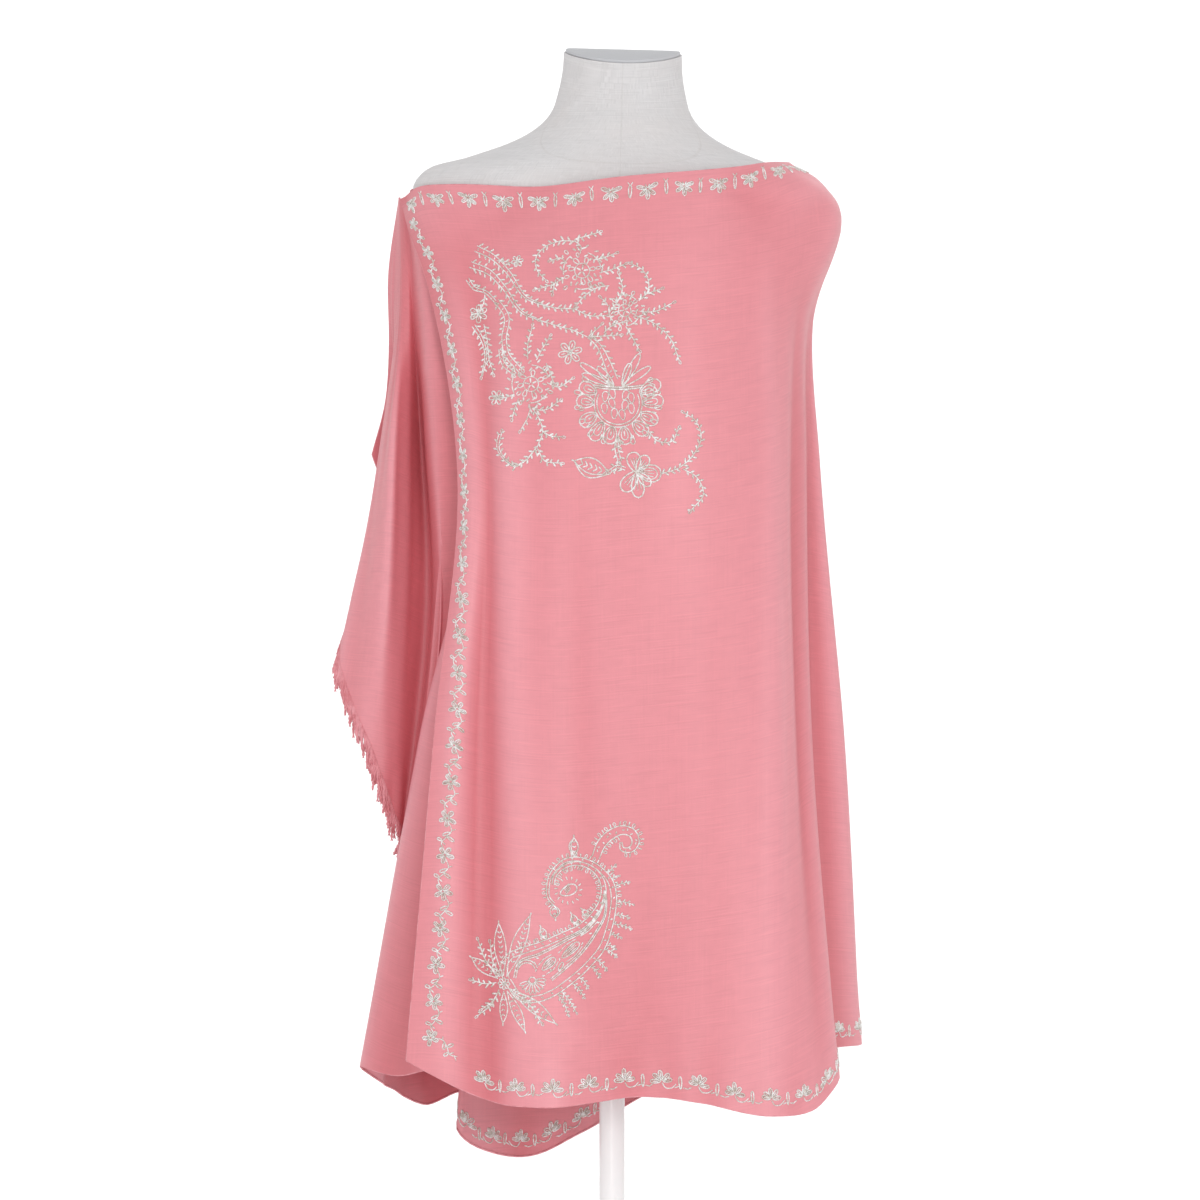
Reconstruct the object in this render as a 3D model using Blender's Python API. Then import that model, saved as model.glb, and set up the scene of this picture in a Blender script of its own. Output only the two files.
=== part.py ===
"""Pashmina shawl draped over a dress form that stands on a pole and a round base.

Units are metres, +Z is up, the front faces -Y and the origin is on the floor on the pole's axis.
The cloth is drawn as hang lines: each row of HANG_LINES is one line of cloth from the top border down
to the hem, and the cloth between two rows is interpolated. Sizes in the tables are millimetres.
"""
import math
from collections import namedtuple

import bmesh
import bpy
import numpy as np
from mathutils import Vector
from mathutils.bvhtree import BVHTree

MM = 0.001

# ---- driving dimensions, millimetres -------------------------------------------------------------
CLOTH_WALL = 1.5            # thickness of the cloth's wall
SEAM_GAP = 0.3              # gap where one stretch of cloth ends and the next begins
FORM_CLEARANCE = 0.4        # from the dress form's smooth surface to the cloth's inner face
LAYER_PITCH = 3.0           # what each further layer of cloth at the left shoulder adds to it
SHOULDER_DROP = 14.0        # the second layer there starts this far below the top border
CONTACT_BLEND = 1.3         # how softly the cloth leaves the form where the contact ends
CLEARING_PASSES = 3

CHEST_LEVEL = 1250.0        # heights at which a hang line states where it passes
BUST_LEVEL = 1120.0
HIP_LEVEL = 860.0

FRINGE_STRANDS = 84
FRINGE_LENGTH = 10.0
FRINGE_GAP = 0.4            # from the cloth's edge to the narrow strip that carries the strands
FRINGE_BACKING = 2.5        # width of that strip
FRINGE_ROOT_SHARE = 0.55    # share of the strand pitch that one root takes

FORM_LEAN = math.radians(1.5)       # the form's chest and neck lean to the viewer's right
LEAN_START, LEAN_END = 960.0, 1260.0
NECK_TILT = math.radians(13.0)      # the neck is cut lower in front than behind
TILT_START, TILT_END = 1425.0, 1500.0
FORM_BOTTOM = 752.0

POLE_RADIUS = 12.0
SOCKET_RADIUS = 20.0
SOCKET_FLANGE_RADIUS = 44.0
SOCKET_LENGTH = 60.0
FLANGE_THICKNESS = 5.0
BASE_RADIUS = 180.0
BASE_THICKNESS = 8.0
BOSS_RADIUS = 28.0
BOSS_HEIGHT = 34.0
BOSS_FLARE = 14.0
EDGE_ROUND = 3.0
PLAY = 0.3                  # running gap between the stand's pieces
NECK_CAP_THICKNESS = 3.0
NECK_CAP_INSET = 1.5

# ---- the dress form: one row for each level of the torso -----------------------------------------
FormLevel = namedtuple("FormLevel", "height half_width front back squareness")
FORM_LEVELS = (
    FormLevel(752, 143, 92, 100, 2.2),       # lower rim
    FormLevel(805, 150, 98, 108, 2.2),      # hip
    FormLevel(885, 136, 94, 98, 2.2),       # high hip
    FormLevel(985, 113, 84, 80, 2.1),        # waist
    FormLevel(1070, 126, 103, 86, 2.2),      # ribs
    FormLevel(1150, 142, 118, 97, 2.3),      # bust
    FormLevel(1235, 150, 104, 103, 2.4),     # armhole
    FormLevel(1290, 179, 95, 101, 2.4),      # foot of the shoulder cap
    FormLevel(1335, 192, 88, 94, 2.3),
    FormLevel(1362, 195, 83, 87, 2.2),       # widest point of the shoulder cap
    FormLevel(1379, 195, 79, 81, 2.2),
    FormLevel(1388, 189, 76, 77, 2.1),
    FormLevel(1396, 177, 73, 74, 2.1),
    FormLevel(1403, 151, 71, 72, 2.1),
    FormLevel(1410, 131, 69, 70, 2.0),
    FormLevel(1417, 112, 67, 68, 2.0),
    FormLevel(1425, 95, 65, 67, 2.0),
    FormLevel(1435, 80, 63, 65, 2.0),        # foot of the neck
    FormLevel(1450, 67, 58, 60, 2.0),
    FormLevel(1468, 61, 54, 56, 2.0),
    FormLevel(1490, 57, 51, 53, 2.0),
    FormLevel(1508, 56, 50, 52, 2.0),        # top of the neck
)

# ---- the shawl's wrap: one row for each fold, from the embroidered end round the body -------------
# along is the distance from the embroidered end, layers the cloth between the line and the form at
# the shoulder; top, shoulder and hem are (x, y, z), the others (x, y) at their level.
HangLine = namedtuple("HangLine", "name along layers top shoulder chest bust hip hem")
HANG_LINES = (
    HangLine("front end", 0, 2, (-195, -4, 1371), (-178, -37, 1312), (-163, -60),
             (-143, -88), (-164, -112), (-189, -122, 566)),
    HangLine("front roll", 26, 2, (-176, -28, 1376), (-160, -60, 1312), (-146, -82),
             (-131, -106), (-145, -119), (-158, -126, 550)),
    HangLine("left valley", 55, 1, (-147, -45, 1375), (-133, -76, 1312), (-124, -94),
             (-116, -116), (-120, -119), (-123, -124, 533)),
    HangLine("left crest", 112, 0, (-77, -76, 1372), (-72, -100, 1312), (-67, -116),
             (-65, -134), (-66, -134), (-66, -143, 526)),
    HangLine("front centre", 198, 0, (12, -90, 1381), (12, -108, 1315), (12, -120),
             (11, -137), (14, -134), (30, -126, 534)),
    HangLine("right centre", 262, 0, (86, -80, 1388), (86, -100, 1320), (85, -112),
             (88, -130), (89, -131), (85, -133, 528)),
    HangLine("right crest", 322, 0, (136, -50, 1396), (141, -74, 1328), (139, -86),
             (140, -103), (143, -112), (144, -134, 517)),
    HangLine("right valley", 376, 0, (157, -22, 1401), (182, -42, 1350), (172, -47),
             (170, -60), (175, -72), (190, -108, 523)),
    HangLine("right fold", 408, 0, (166, -5, 1403), (205, -18, 1366), (181, -24),
             (181, -32), (186, -48), (209, -78, 545)),
    HangLine("side valley", 440, 0, (168, 5, 1404), (212, 2, 1368), (185, -2),
             (184, -5), (187, -12), (202, -38, 563)),
    HangLine("side fold", 492, 0, (166, 20, 1404), (206, 24, 1366), (190, 18),
             (197, 15), (220, 15), (236, 22, 565)),
    HangLine("side hollow", 545, 0, (156, 38, 1402), (186, 50, 1352), (180, 56),
             (180, 62), (204, 66), (218, 72, 566)),
    HangLine("back right fold", 610, 0, (128, 57, 1397), (148, 78, 1330), (146, 90),
             (144, 98), (166, 116), (182, 134, 556)),
    HangLine("back hollow", 680, 0, (78, 73, 1390), (84, 98, 1315), (85, 111),
             (84, 114), (104, 126), (112, 130, 538)),
    HangLine("back crest", 752, 0, (20, 82, 1385), (20, 106, 1315), (20, 119),
             (20, 122), (32, 146), (36, 150, 502)),
    HangLine("back slope", 805, 0, (-24, 82, 1383), (-24, 106, 1315), (-24, 118),
             (-24, 121), (-20, 142), (-26, 128, 468)),
    HangLine("back low wave", 860, 0, (-68, 79, 1382), (-68, 102, 1315), (-70, 114),
             (-70, 117), (-76, 134), (-88, 100, 446)),
    HangLine("inner fold", 915, 0, (-112, 70, 1382), (-116, 92, 1315), (-118, 104),
             (-116, 104), (-134, 112), (-148, 62, 476)),
    HangLine("behind the fold", 950, 0, (-132, 60, 1382), (-138, 80, 1318), (-138, 94),
             (-136, 94), (-154, 118), (-146, 104, 508)),
    HangLine("far low wave", 988, 0, (-156, 44, 1382), (-162, 62, 1322), (-162, 76),
             (-156, 76), (-184, 98), (-178, 94, 498)),
    HangLine("left side", 1046, 0, (-180, 22, 1381), (-184, 30, 1330), (-178, 36),
             (-160, 36), (-194, 52), (-210, 40, 520)),
    HangLine("left hollow", 1091, 0, (-188, 8, 1379), (-183, 4, 1325), (-153, -6),
             (-139, -14), (-154, -22), (-221, 2, 532)),
    HangLine("under fold", 1136, 0, (-187, -6, 1371), (-178, -26, 1318), (-150, -62),
             (-127, -86), (-179, -60), (-236, -16, 548)),
    HangLine("under front", 1166, 0, (-181, -16, 1366), (-166, -43, 1315), (-136, -76),
             (-119, -95), (-158, -88), (-204, -52, 544)),
    HangLine("under hidden", 1201, 0, (-170, -27, 1363), (-148, -57, 1312), (-120, -86),
             (-106, -104), (-136, -100), (-171, -82, 553)),
    HangLine("under end", 1241, 0, (-154, -36, 1361), (-126, -70, 1310), (-96, -96),
             (-84, -114), (-98, -112), (-122, -98, 560)),
)
# stretches of the wrap: the node's name and the fold where it ends
STRETCHES = (("front_panel", "side valley"), ("right_side", "back right fold"),
             ("back_panel", "far low wave"), ("left_fold", "under end"))

# ---- the far end, gathered at the left shoulder: one row for each fold, shoulder to fringe --------
GatherLine = namedtuple("GatherLine", "name across layers shoulder chest bust waist end")
GATHER_LINES = (
    GatherLine("under edge", 0, 1, (-180, -32, 1350), (-160, -46, 1242), (-137, -68, 1129),
               (-158, -54, 985), (-190, -12, 728)),
    GatherLine("upper fold", 40, 1, (-186, -22, 1352), (-174, -40, 1243), (-169, -60, 1126),
               (-166, -62, 1000), (-196, -12, 742)),
    GatherLine("deep hollow", 95, 1, (-191, -8, 1356), (-186, -2, 1246), (-181, 6, 1141),
               (-175, -4, 1000), (-199, -3, 761)),
    GatherLine("inner drape", 145, 1, (-194, -2, 1359), (-192, -4, 1245), (-194, -13, 1140),
               (-197, -20, 980), (-209, -14, 797)),
    GatherLine("drape crest", 195, 1, (-196, 2, 1361), (-197, -3, 1247), (-206, -26, 1149),
               (-214, -36, 1000), (-229, -24, 857)),
    GatherLine("outer fold", 255, 1, (-198, 6, 1363), (-201, 7, 1250), (-217, 4, 1150),
               (-234, 2, 1046), (-258, 4, 942)),
    GatherLine("behind drape", 330, 1, (-200, 11, 1365), (-206, 25, 1262), (-205, 36, 1190),
               (-199, 43, 1120), (-209, 46, 1056)),
    GatherLine("top border", 385, 1, (-201, 16, 1367), (-213, 32, 1300), (-213, 40, 1235),
               (-217, 42, 1180), (-230, 36, 1128)),
)


# ---- curves --------------------------------------------------------------------------------------
def spline(knots, values, positions):
    """Smooth curve through values at the given knots (Catmull-Rom with uneven knots)."""
    knots = np.asarray(knots, float)
    values = np.asarray(values, float)
    positions = np.clip(np.asarray(positions, float), knots[0], knots[-1])
    slopes = np.zeros_like(values)
    steps = np.diff(knots)
    chords = np.diff(values, axis=0) / steps.reshape((-1,) + (1,) * (values.ndim - 1))
    weight = (steps[1:] / (steps[1:] + steps[:-1])).reshape((-1,) + (1,) * (values.ndim - 1))
    slopes[1:-1] = chords[:-1] * weight + chords[1:] * (1 - weight)
    slopes[0], slopes[-1] = chords[0], chords[-1]
    index = np.clip(np.searchsorted(knots, positions, side="right") - 1, 0, len(knots) - 2)
    shape = (-1,) + (1,) * (values.ndim - 1)
    step = steps[index].reshape(shape)
    t = ((positions - knots[index]) / steps[index]).reshape(shape)
    return ((2 * t**3 - 3 * t**2 + 1) * values[index] + (t**3 - 2 * t**2 + t) * step * slopes[index]
            + (3 * t**2 - 2 * t**3) * values[index + 1] + (t**3 - t**2) * step * slopes[index + 1])


def smooth_step(value, start, end):
    share = np.clip((value - start) / (end - start), 0.0, 1.0)
    return share * share * (3 - 2 * share)


def path_lengths(points):
    """Distance along a row of points, from its first point."""
    return np.concatenate(([0.0], np.cumsum(np.linalg.norm(np.diff(points, axis=0), axis=1))))


# ---- meshes --------------------------------------------------------------------------------------
def add_object(name, points, faces, material):
    mesh = bpy.data.meshes.new(name)
    mesh.from_pydata([Vector(point) * MM for point in points], [], faces)
    mesh.materials.append(material)
    thing = bpy.data.objects.new(name, mesh)
    bpy.context.scene.collection.objects.link(thing)
    mesh.shade_smooth()
    mesh.set_sharp_from_angle(angle=math.radians(40))
    return thing


def make_material(name, color, roughness, metallic=0.0):
    material = bpy.data.materials.new(name)
    material.use_nodes = True
    shader = material.node_tree.nodes["Principled BSDF"]
    shader.inputs["Base Color"].default_value = (*color, 1.0)
    shader.inputs["Roughness"].default_value = roughness
    shader.inputs["Metallic"].default_value = metallic
    return material


def turned(name, profile, sides, material):
    """Solid of revolution; the profile runs from the axis at the top, down outside, back to the axis."""
    points, rings = [], []
    for radius, height in profile:
        if radius == 0:
            rings.append([len(points)])
            points.append((0.0, 0.0, height))
            continue
        rings.append(list(range(len(points), len(points) + sides)))
        for side in range(sides):
            angle = 2 * math.pi * side / sides
            points.append((radius * math.cos(angle), radius * math.sin(angle), height))
    faces = []
    closed = len(rings[0]) > 1
    following = rings[1:] + ([rings[0]] if closed else [])
    for upper, lower in zip(rings, following):
        for side in range(sides):
            after = (side + 1) % sides
            if len(upper) == 1:
                faces.append((upper[0], lower[side], lower[after]))
            elif len(lower) == 1:
                faces.append((upper[after], upper[side], lower[0]))
            else:
                faces.append((upper[after], upper[side], lower[side], lower[after]))
    return add_object(name, points, faces, material)


# ---- dress form ----------------------------------------------------------------------------------
def form_rings(heights, sides):
    """Rings of points round the torso at the given heights, leaned and tilted."""
    table = np.array([level[1:] for level in FORM_LEVELS], float)
    knots = [level.height for level in FORM_LEVELS]
    angles = 2 * math.pi * np.arange(sides) / sides
    rings = []
    for height, (half_width, front, back, squareness) in zip(heights, spline(knots, table, heights)):
        cosine, sine = np.cos(angles), np.sin(angles)
        x = half_width * np.sign(cosine) * np.abs(cosine) ** (2 / squareness)
        depth = np.where(sine < 0, front, back)
        y = depth * np.sign(sine) * np.abs(sine) ** (2 / squareness)
        tilt = math.tan(NECK_TILT) * smooth_step(height, TILT_START, TILT_END)
        z = height + tilt * y
        lean = math.tan(FORM_LEAN) * smooth_step(height, LEAN_START, LEAN_END)
        pivot = (LEAN_START + LEAN_END) / 2
        ring = np.stack([x + lean * (z - pivot), y, z - lean * x], axis=1)
        rings.append(ring)
    return rings


def form_heights(count):
    """Heights from the torso's rim to the neck, closer together over the shoulders."""
    knots = np.array([level.height for level in FORM_LEVELS], float)
    widths = np.array([level.half_width for level in FORM_LEVELS], float)
    outline = path_lengths(np.stack([widths, knots], axis=1))
    dense = np.interp(np.linspace(0, outline[-1], count), outline, knots)
    return dense


def ring_faces(ring_count, sides):
    """Quads between rings that are listed from the bottom up, facing out."""
    return [(ring * sides + side, ring * sides + (side + 1) % sides,
             (ring + 1) * sides + (side + 1) % sides, (ring + 1) * sides + side)
            for ring in range(ring_count - 1) for side in range(sides)]


def make_torso(material, sides=44, ring_count=40):
    rings = form_rings(form_heights(ring_count), sides)
    points = np.concatenate(rings)
    faces = ring_faces(ring_count, sides)
    faces.append(tuple(reversed(range(sides))))
    faces.append(tuple(range((ring_count - 1) * sides, ring_count * sides)))
    return add_object("form_torso", points, faces, material)


def make_neck_cap(material, sides=44):
    """Thin plate on the neck's sloping top, a little smaller than the neck."""
    rim = form_rings([FORM_LEVELS[-1].height], sides)[0]
    centre = rim.mean(axis=0)
    normal = np.cross(rim[0] - centre, rim[sides // 4] - centre)
    normal /= np.linalg.norm(normal)
    spokes = (rim - centre) / np.linalg.norm(rim - centre, axis=1, keepdims=True)
    lower = rim - spokes * NECK_CAP_INSET + normal * PLAY
    upper = lower + normal * NECK_CAP_THICKNESS * 0.7
    crown = lower - spokes * NECK_CAP_THICKNESS + normal * NECK_CAP_THICKNESS
    faces = ring_faces(3, sides)
    faces.append(tuple(reversed(range(sides))))
    faces.append(tuple(range(2 * sides, 3 * sides)))
    return add_object("neck_cap", np.concatenate([lower, upper, crown]), faces, material)


def form_tree(sides=120, ring_count=110):
    """Search tree of the form's smooth surface, which keeps the cloth clear of it."""
    rings = form_rings(form_heights(ring_count), sides)
    points = [Vector(point) for point in np.concatenate(rings)]
    return BVHTree.FromPolygons(points, ring_faces(ring_count, sides))


# ---- cloth ---------------------------------------------------------------------------------------
def keep_clear(points, clearance, tree):
    """Moves cloth that would come too near the form out to its clearance, with a soft start."""
    cleared = points.copy()
    for index, point in enumerate(points):
        place, normal, _, distance = tree.find_nearest(Vector(point))
        outside = (Vector(point) - place).dot(normal) > 0
        signed = distance if outside else -distance
        excess = (signed - clearance[index]) / CONTACT_BLEND
        if excess > 8:
            continue
        lifted = clearance[index] + CONTACT_BLEND * math.log1p(math.exp(excess))
        direction = (Vector(point) - place).normalized() if outside and distance > 1 else normal
        cleared[index] = np.array(place + direction * lifted)
    return cleared


def line_stations(count, crowding=1.75):
    """Shares of a hang line from the top border to the hem, closer together over the shoulder."""
    return (np.arange(count + 1) / count) ** crowding


def hang_curve(line):
    """One hang line of the wrap as a dense row of points, from the top border to the hem."""
    return curve_through([line.top, line.shoulder, (*line.chest, CHEST_LEVEL), (*line.bust, BUST_LEVEL),
                          (*line.hip, HIP_LEVEL), line.hem])


def gather_curve(line):
    return curve_through([line.shoulder, line.chest, line.bust, line.waist, line.end])


def curve_through(points, count=121):
    points = np.array(points, float)
    lengths = path_lengths(points)
    return spline(lengths, points, np.linspace(0, lengths[-1], count))


def spaced(curve, shares):
    """Points of a dense curve at the given shares of its length."""
    lengths = path_lengths(curve)
    wanted = np.asarray(shares) * lengths[-1]
    return np.stack([np.interp(wanted, lengths, curve[:, axis]) for axis in range(3)], axis=1)


def draped_column(curve, layers, shares, tree):
    """A hang line laid over the form: kept clear of it, then spaced evenly again."""
    below = smooth_step(curve[0, 2] - curve[:, 2], 0, SHOULDER_DROP)
    clearance = FORM_CLEARANCE + LAYER_PITCH * (np.minimum(layers, 1) + np.maximum(layers - 1, 0) * below)
    for _ in range(CLEARING_PASSES):
        curve = spaced(keep_clear(curve, clearance, tree), np.linspace(0, 1, len(curve)))
    return spaced(curve, shares)


def columns_between(knots, hems, longest):
    """Positions along the cloth: every row of the table, and more between rows that lie far apart."""
    positions = [knots[0]]
    for index in range(len(knots) - 1):
        reach = np.linalg.norm(np.subtract(hems[index + 1], hems[index]))
        parts = max(2, math.ceil(reach / longest))
        positions.extend(np.linspace(knots[index], knots[index + 1], parts + 1)[1:])
    return np.array(positions)


def cloth_sheet(lines, knots, curves, positions, shares, tree):
    """Grid of points, columns by stations, through the hang lines and laid over the form."""
    dense = spline(knots, np.array(curves), positions)
    layers = spline(knots, [line.layers for line in lines], positions)
    return np.array([draped_column(curve, layer, shares, tree) for curve, layer in zip(dense, layers)])


def directions(points, axis=0):
    """Unit directions along one axis of a grid, the mean of the two steps that meet at a point."""
    steps = np.diff(points, axis=axis)
    steps /= np.linalg.norm(steps, axis=-1, keepdims=True)
    first, last = np.take(steps, [0], axis=axis), np.take(steps, [-1], axis=axis)
    means = np.concatenate([first, steps], axis=axis) + np.concatenate([steps, last], axis=axis)
    return means / np.linalg.norm(means, axis=-1, keepdims=True)


def sheet_normals(sheet):
    """Unit normals of a grid of points, pointing away from the body."""
    normals = np.cross(directions(sheet, axis=1), directions(sheet, axis=0))
    return normals / np.linalg.norm(normals, axis=2, keepdims=True)


def part_at_seam(sheet, first, last):
    """Draws the named end columns in by half a seam gap."""
    sheet = sheet.copy()
    for wanted, edge, inner in ((first, 0, 1), (last, -1, -2)):
        if wanted:
            inward = sheet[inner] - sheet[edge]
            inward /= np.linalg.norm(inward, axis=1, keepdims=True)
            sheet[edge] += inward * SEAM_GAP / 2
    return sheet


def cloth_wall(name, sheet, normals, material):
    """Closed wall between the sheet and the same sheet moved out by the cloth's thickness."""
    columns, stations = sheet.shape[:2]
    inner = sheet.reshape(-1, 3)
    outer = (sheet + normals * CLOTH_WALL).reshape(-1, 3)
    offset = len(inner)
    faces = []
    for column in range(columns - 1):
        for station in range(stations - 1):
            corner = column * stations + station
            beside = corner + stations
            faces.append((corner, beside, beside + 1, corner + 1))
            faces.append((offset + corner, offset + corner + 1, offset + beside + 1, offset + beside))
    rim = [column * stations for column in range(columns)]
    rim += [(columns - 1) * stations + station for station in range(1, stations)]
    rim += [column * stations + stations - 1 for column in range(columns - 2, -1, -1)]
    rim += [station for station in range(stations - 2, 0, -1)]
    for here, there in zip(rim, rim[1:] + rim[:1]):
        faces.append((here, offset + here, offset + there, there))
    return add_object(name, np.concatenate([inner, outer]), faces, material)


def make_wrap(material, tree, stations=25, longest=28.0):
    """The stretches from the embroidered end round the body to the fold under it."""
    knots = [line.along for line in HANG_LINES]
    curves = [hang_curve(line) for line in HANG_LINES]
    positions = columns_between(knots, [line.hem for line in HANG_LINES], longest)
    sheet = cloth_sheet(HANG_LINES, knots, curves, positions, line_stations(stations), tree)
    normals = sheet_normals(sheet)
    seams = {line.name: line.along for line in HANG_LINES}
    start = 0
    for index, (name, last_fold) in enumerate(STRETCHES):
        end = int(np.argmin(np.abs(positions - seams[last_fold])))
        stretch = part_at_seam(sheet[start:end + 1], first=index > 0, last=index < len(STRETCHES) - 1)
        cloth_wall(name, stretch, normals[start:end + 1], material)
        start = end


def make_far_end(material, thread, tree, stations=18, longest=22.0):
    """The gathered far end, and its fringe on a strip of its own."""
    knots = [line.across for line in GATHER_LINES]
    curves = [gather_curve(line) for line in GATHER_LINES]
    positions = columns_between(knots, [line.end for line in GATHER_LINES], longest)
    shares = line_stations(stations, crowding=1.15)
    sheet = cloth_sheet(GATHER_LINES, knots, curves, positions, shares, tree)[::-1]
    normals = sheet_normals(sheet)
    cloth_wall("fringed_end", sheet, normals, material)
    make_fringe(sheet, normals, thread)


def make_fringe(sheet, normals, material):
    """Narrow strip along the far end whose outer rim carries tapered four-sided strands."""
    edge = sheet[:, -1]
    lengths = path_lengths(edge)
    pitch = lengths[-1] / FRINGE_STRANDS
    marks = []
    for strand in range(FRINGE_STRANDS):
        marks += [strand * pitch, (strand + FRINGE_ROOT_SHARE) * pitch]
    marks.append(lengths[-1])

    def along_edge(values):
        return np.stack([np.interp(marks, lengths, values[:, axis]) for axis in range(3)], axis=1)

    outward = np.cross(directions(edge), normals[:, -1])
    outward /= np.linalg.norm(outward, axis=1, keepdims=True)
    root, out, normal = along_edge(edge), along_edge(outward), along_edge(normals[:, -1])
    near = root + out * FRINGE_GAP
    far = root + out * (FRINGE_GAP + FRINGE_BACKING)
    points = list(np.concatenate([near, near + normal * CLOTH_WALL, far, far + normal * CLOTH_WALL]))
    count = len(marks)
    faces = []
    for mark in range(count - 1):
        near_in, near_out, far_in, far_out = (mark + row * count for row in range(4))
        faces.append((near_in, near_out, near_out + 1, near_in + 1))
        faces.append((near_out, far_out, far_out + 1, near_out + 1))
        faces.append((near_in, near_in + 1, far_in + 1, far_in))
        rim = (far_in, far_in + 1, far_out + 1, far_out)
        if mark % 2:
            faces.append(rim)
            continue
        add_strand(points, faces, rim, out[mark], normal[mark])
    faces.append((0, 2 * count, 3 * count, count))
    last = count - 1
    faces.append((last, count + last, 3 * count + last, 2 * count + last))
    return add_object("fringe", points, faces, material)


def add_strand(points, faces, rim, out, normal):
    """Tapered strand that grows from one face of the strip's rim and droops a little."""
    corners = np.array([points[corner] for corner in rim])
    centre = corners.mean(axis=0)
    reach = out * FRINGE_LENGTH * 0.94 + np.array([0.0, 0.0, -1.0]) * FRINGE_LENGTH * 0.18
    tip = (corners - centre) * 0.45 + centre + reach
    first = len(points)
    points.extend(tip)
    for side in range(4):
        after = (side + 1) % 4
        faces.append((rim[side], rim[after], first + after, first + side))
    faces.append((first, first + 1, first + 2, first + 3))


# ---- stand ---------------------------------------------------------------------------------------
def make_stand(material):
    bore = POLE_RADIUS + PLAY
    base_floor = BASE_THICKNESS / 2
    turned("base", ((0, base_floor), (bore, base_floor), (bore, BOSS_HEIGHT),
                    (BOSS_RADIUS - EDGE_ROUND, BOSS_HEIGHT), (BOSS_RADIUS, BOSS_HEIGHT - EDGE_ROUND),
                    (BOSS_RADIUS + BOSS_FLARE / 4, BASE_THICKNESS + BOSS_FLARE / 3),
                    (BOSS_RADIUS + BOSS_FLARE, BASE_THICKNESS),
                    (BASE_RADIUS - EDGE_ROUND, BASE_THICKNESS), (BASE_RADIUS, BASE_THICKNESS - EDGE_ROUND),
                    (BASE_RADIUS, 0), (0, 0)), 48, material)
    pole_top = FORM_BOTTOM - PLAY
    pole_foot = base_floor + PLAY
    turned("pole", ((0, pole_top), (POLE_RADIUS, pole_top), (POLE_RADIUS, pole_foot), (0, pole_foot)),
           24, material)
    flange_foot = pole_top - FLANGE_THICKNESS
    socket_foot = pole_top - SOCKET_LENGTH
    turned("socket", ((SOCKET_FLANGE_RADIUS, pole_top), (SOCKET_FLANGE_RADIUS, flange_foot),
                      (SOCKET_RADIUS + EDGE_ROUND, flange_foot), (SOCKET_RADIUS, flange_foot - EDGE_ROUND),
                      (SOCKET_RADIUS, socket_foot), (bore, socket_foot), (bore, pole_top)), 32, material)


def build():
    for thing in list(bpy.data.objects):
        bpy.data.objects.remove(thing)
    cloth = make_material("cloth", (0.79, 0.27, 0.30), 0.85)
    thread = make_material("fringe_thread", (0.80, 0.30, 0.32), 0.85)
    cover = make_material("form_cover", (0.70, 0.69, 0.68), 0.9)
    cap = make_material("cap_board", (0.66, 0.66, 0.68), 0.7)
    enamel = make_material("white_enamel", (0.82, 0.82, 0.82), 0.4)
    make_torso(cover)
    make_neck_cap(cap)
    make_stand(enamel)
    tree = form_tree()
    make_wrap(cloth, tree)
    make_far_end(cloth, thread, tree)


build()
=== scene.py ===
"""Embroidered pashmina shawl on a linen dress form, laid out as an add-on with one operator for each piece.

Tables are in millimetres. The cloth is drawn as hang lines: a row is one line of cloth from the top
border to the hem, and a fine grid is interpolated between the rows and laid over the form.
"""
import functools
import math
import random
from collections import namedtuple

import bpy
import numpy as np
from bpy.props import FloatProperty, FloatVectorProperty, PointerProperty
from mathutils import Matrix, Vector
from mathutils.bvhtree import BVHTree


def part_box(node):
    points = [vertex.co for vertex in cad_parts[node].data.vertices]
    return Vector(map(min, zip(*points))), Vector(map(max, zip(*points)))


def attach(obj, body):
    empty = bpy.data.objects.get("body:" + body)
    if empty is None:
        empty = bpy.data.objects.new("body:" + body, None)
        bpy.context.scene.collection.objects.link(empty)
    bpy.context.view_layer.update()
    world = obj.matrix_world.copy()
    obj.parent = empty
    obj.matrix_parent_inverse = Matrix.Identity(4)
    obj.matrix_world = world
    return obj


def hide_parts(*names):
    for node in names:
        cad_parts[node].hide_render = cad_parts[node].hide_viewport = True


bl_info = {
    "name": "Pashmina shawl on dress form",
    "version": (1, 0, 0),
    "blender": (4, 5, 0),
    "location": "View3D > Sidebar > Shawl",
    "description": "Builds an embroidered shawl, the dress form that wears it and a small studio",
    "category": "Object",
}

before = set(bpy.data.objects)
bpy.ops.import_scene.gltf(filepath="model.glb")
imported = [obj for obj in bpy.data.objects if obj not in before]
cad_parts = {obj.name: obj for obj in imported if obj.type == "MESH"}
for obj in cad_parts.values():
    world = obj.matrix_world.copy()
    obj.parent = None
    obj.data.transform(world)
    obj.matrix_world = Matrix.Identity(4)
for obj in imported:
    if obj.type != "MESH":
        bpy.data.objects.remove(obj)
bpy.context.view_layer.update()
MM = 0.001

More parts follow.
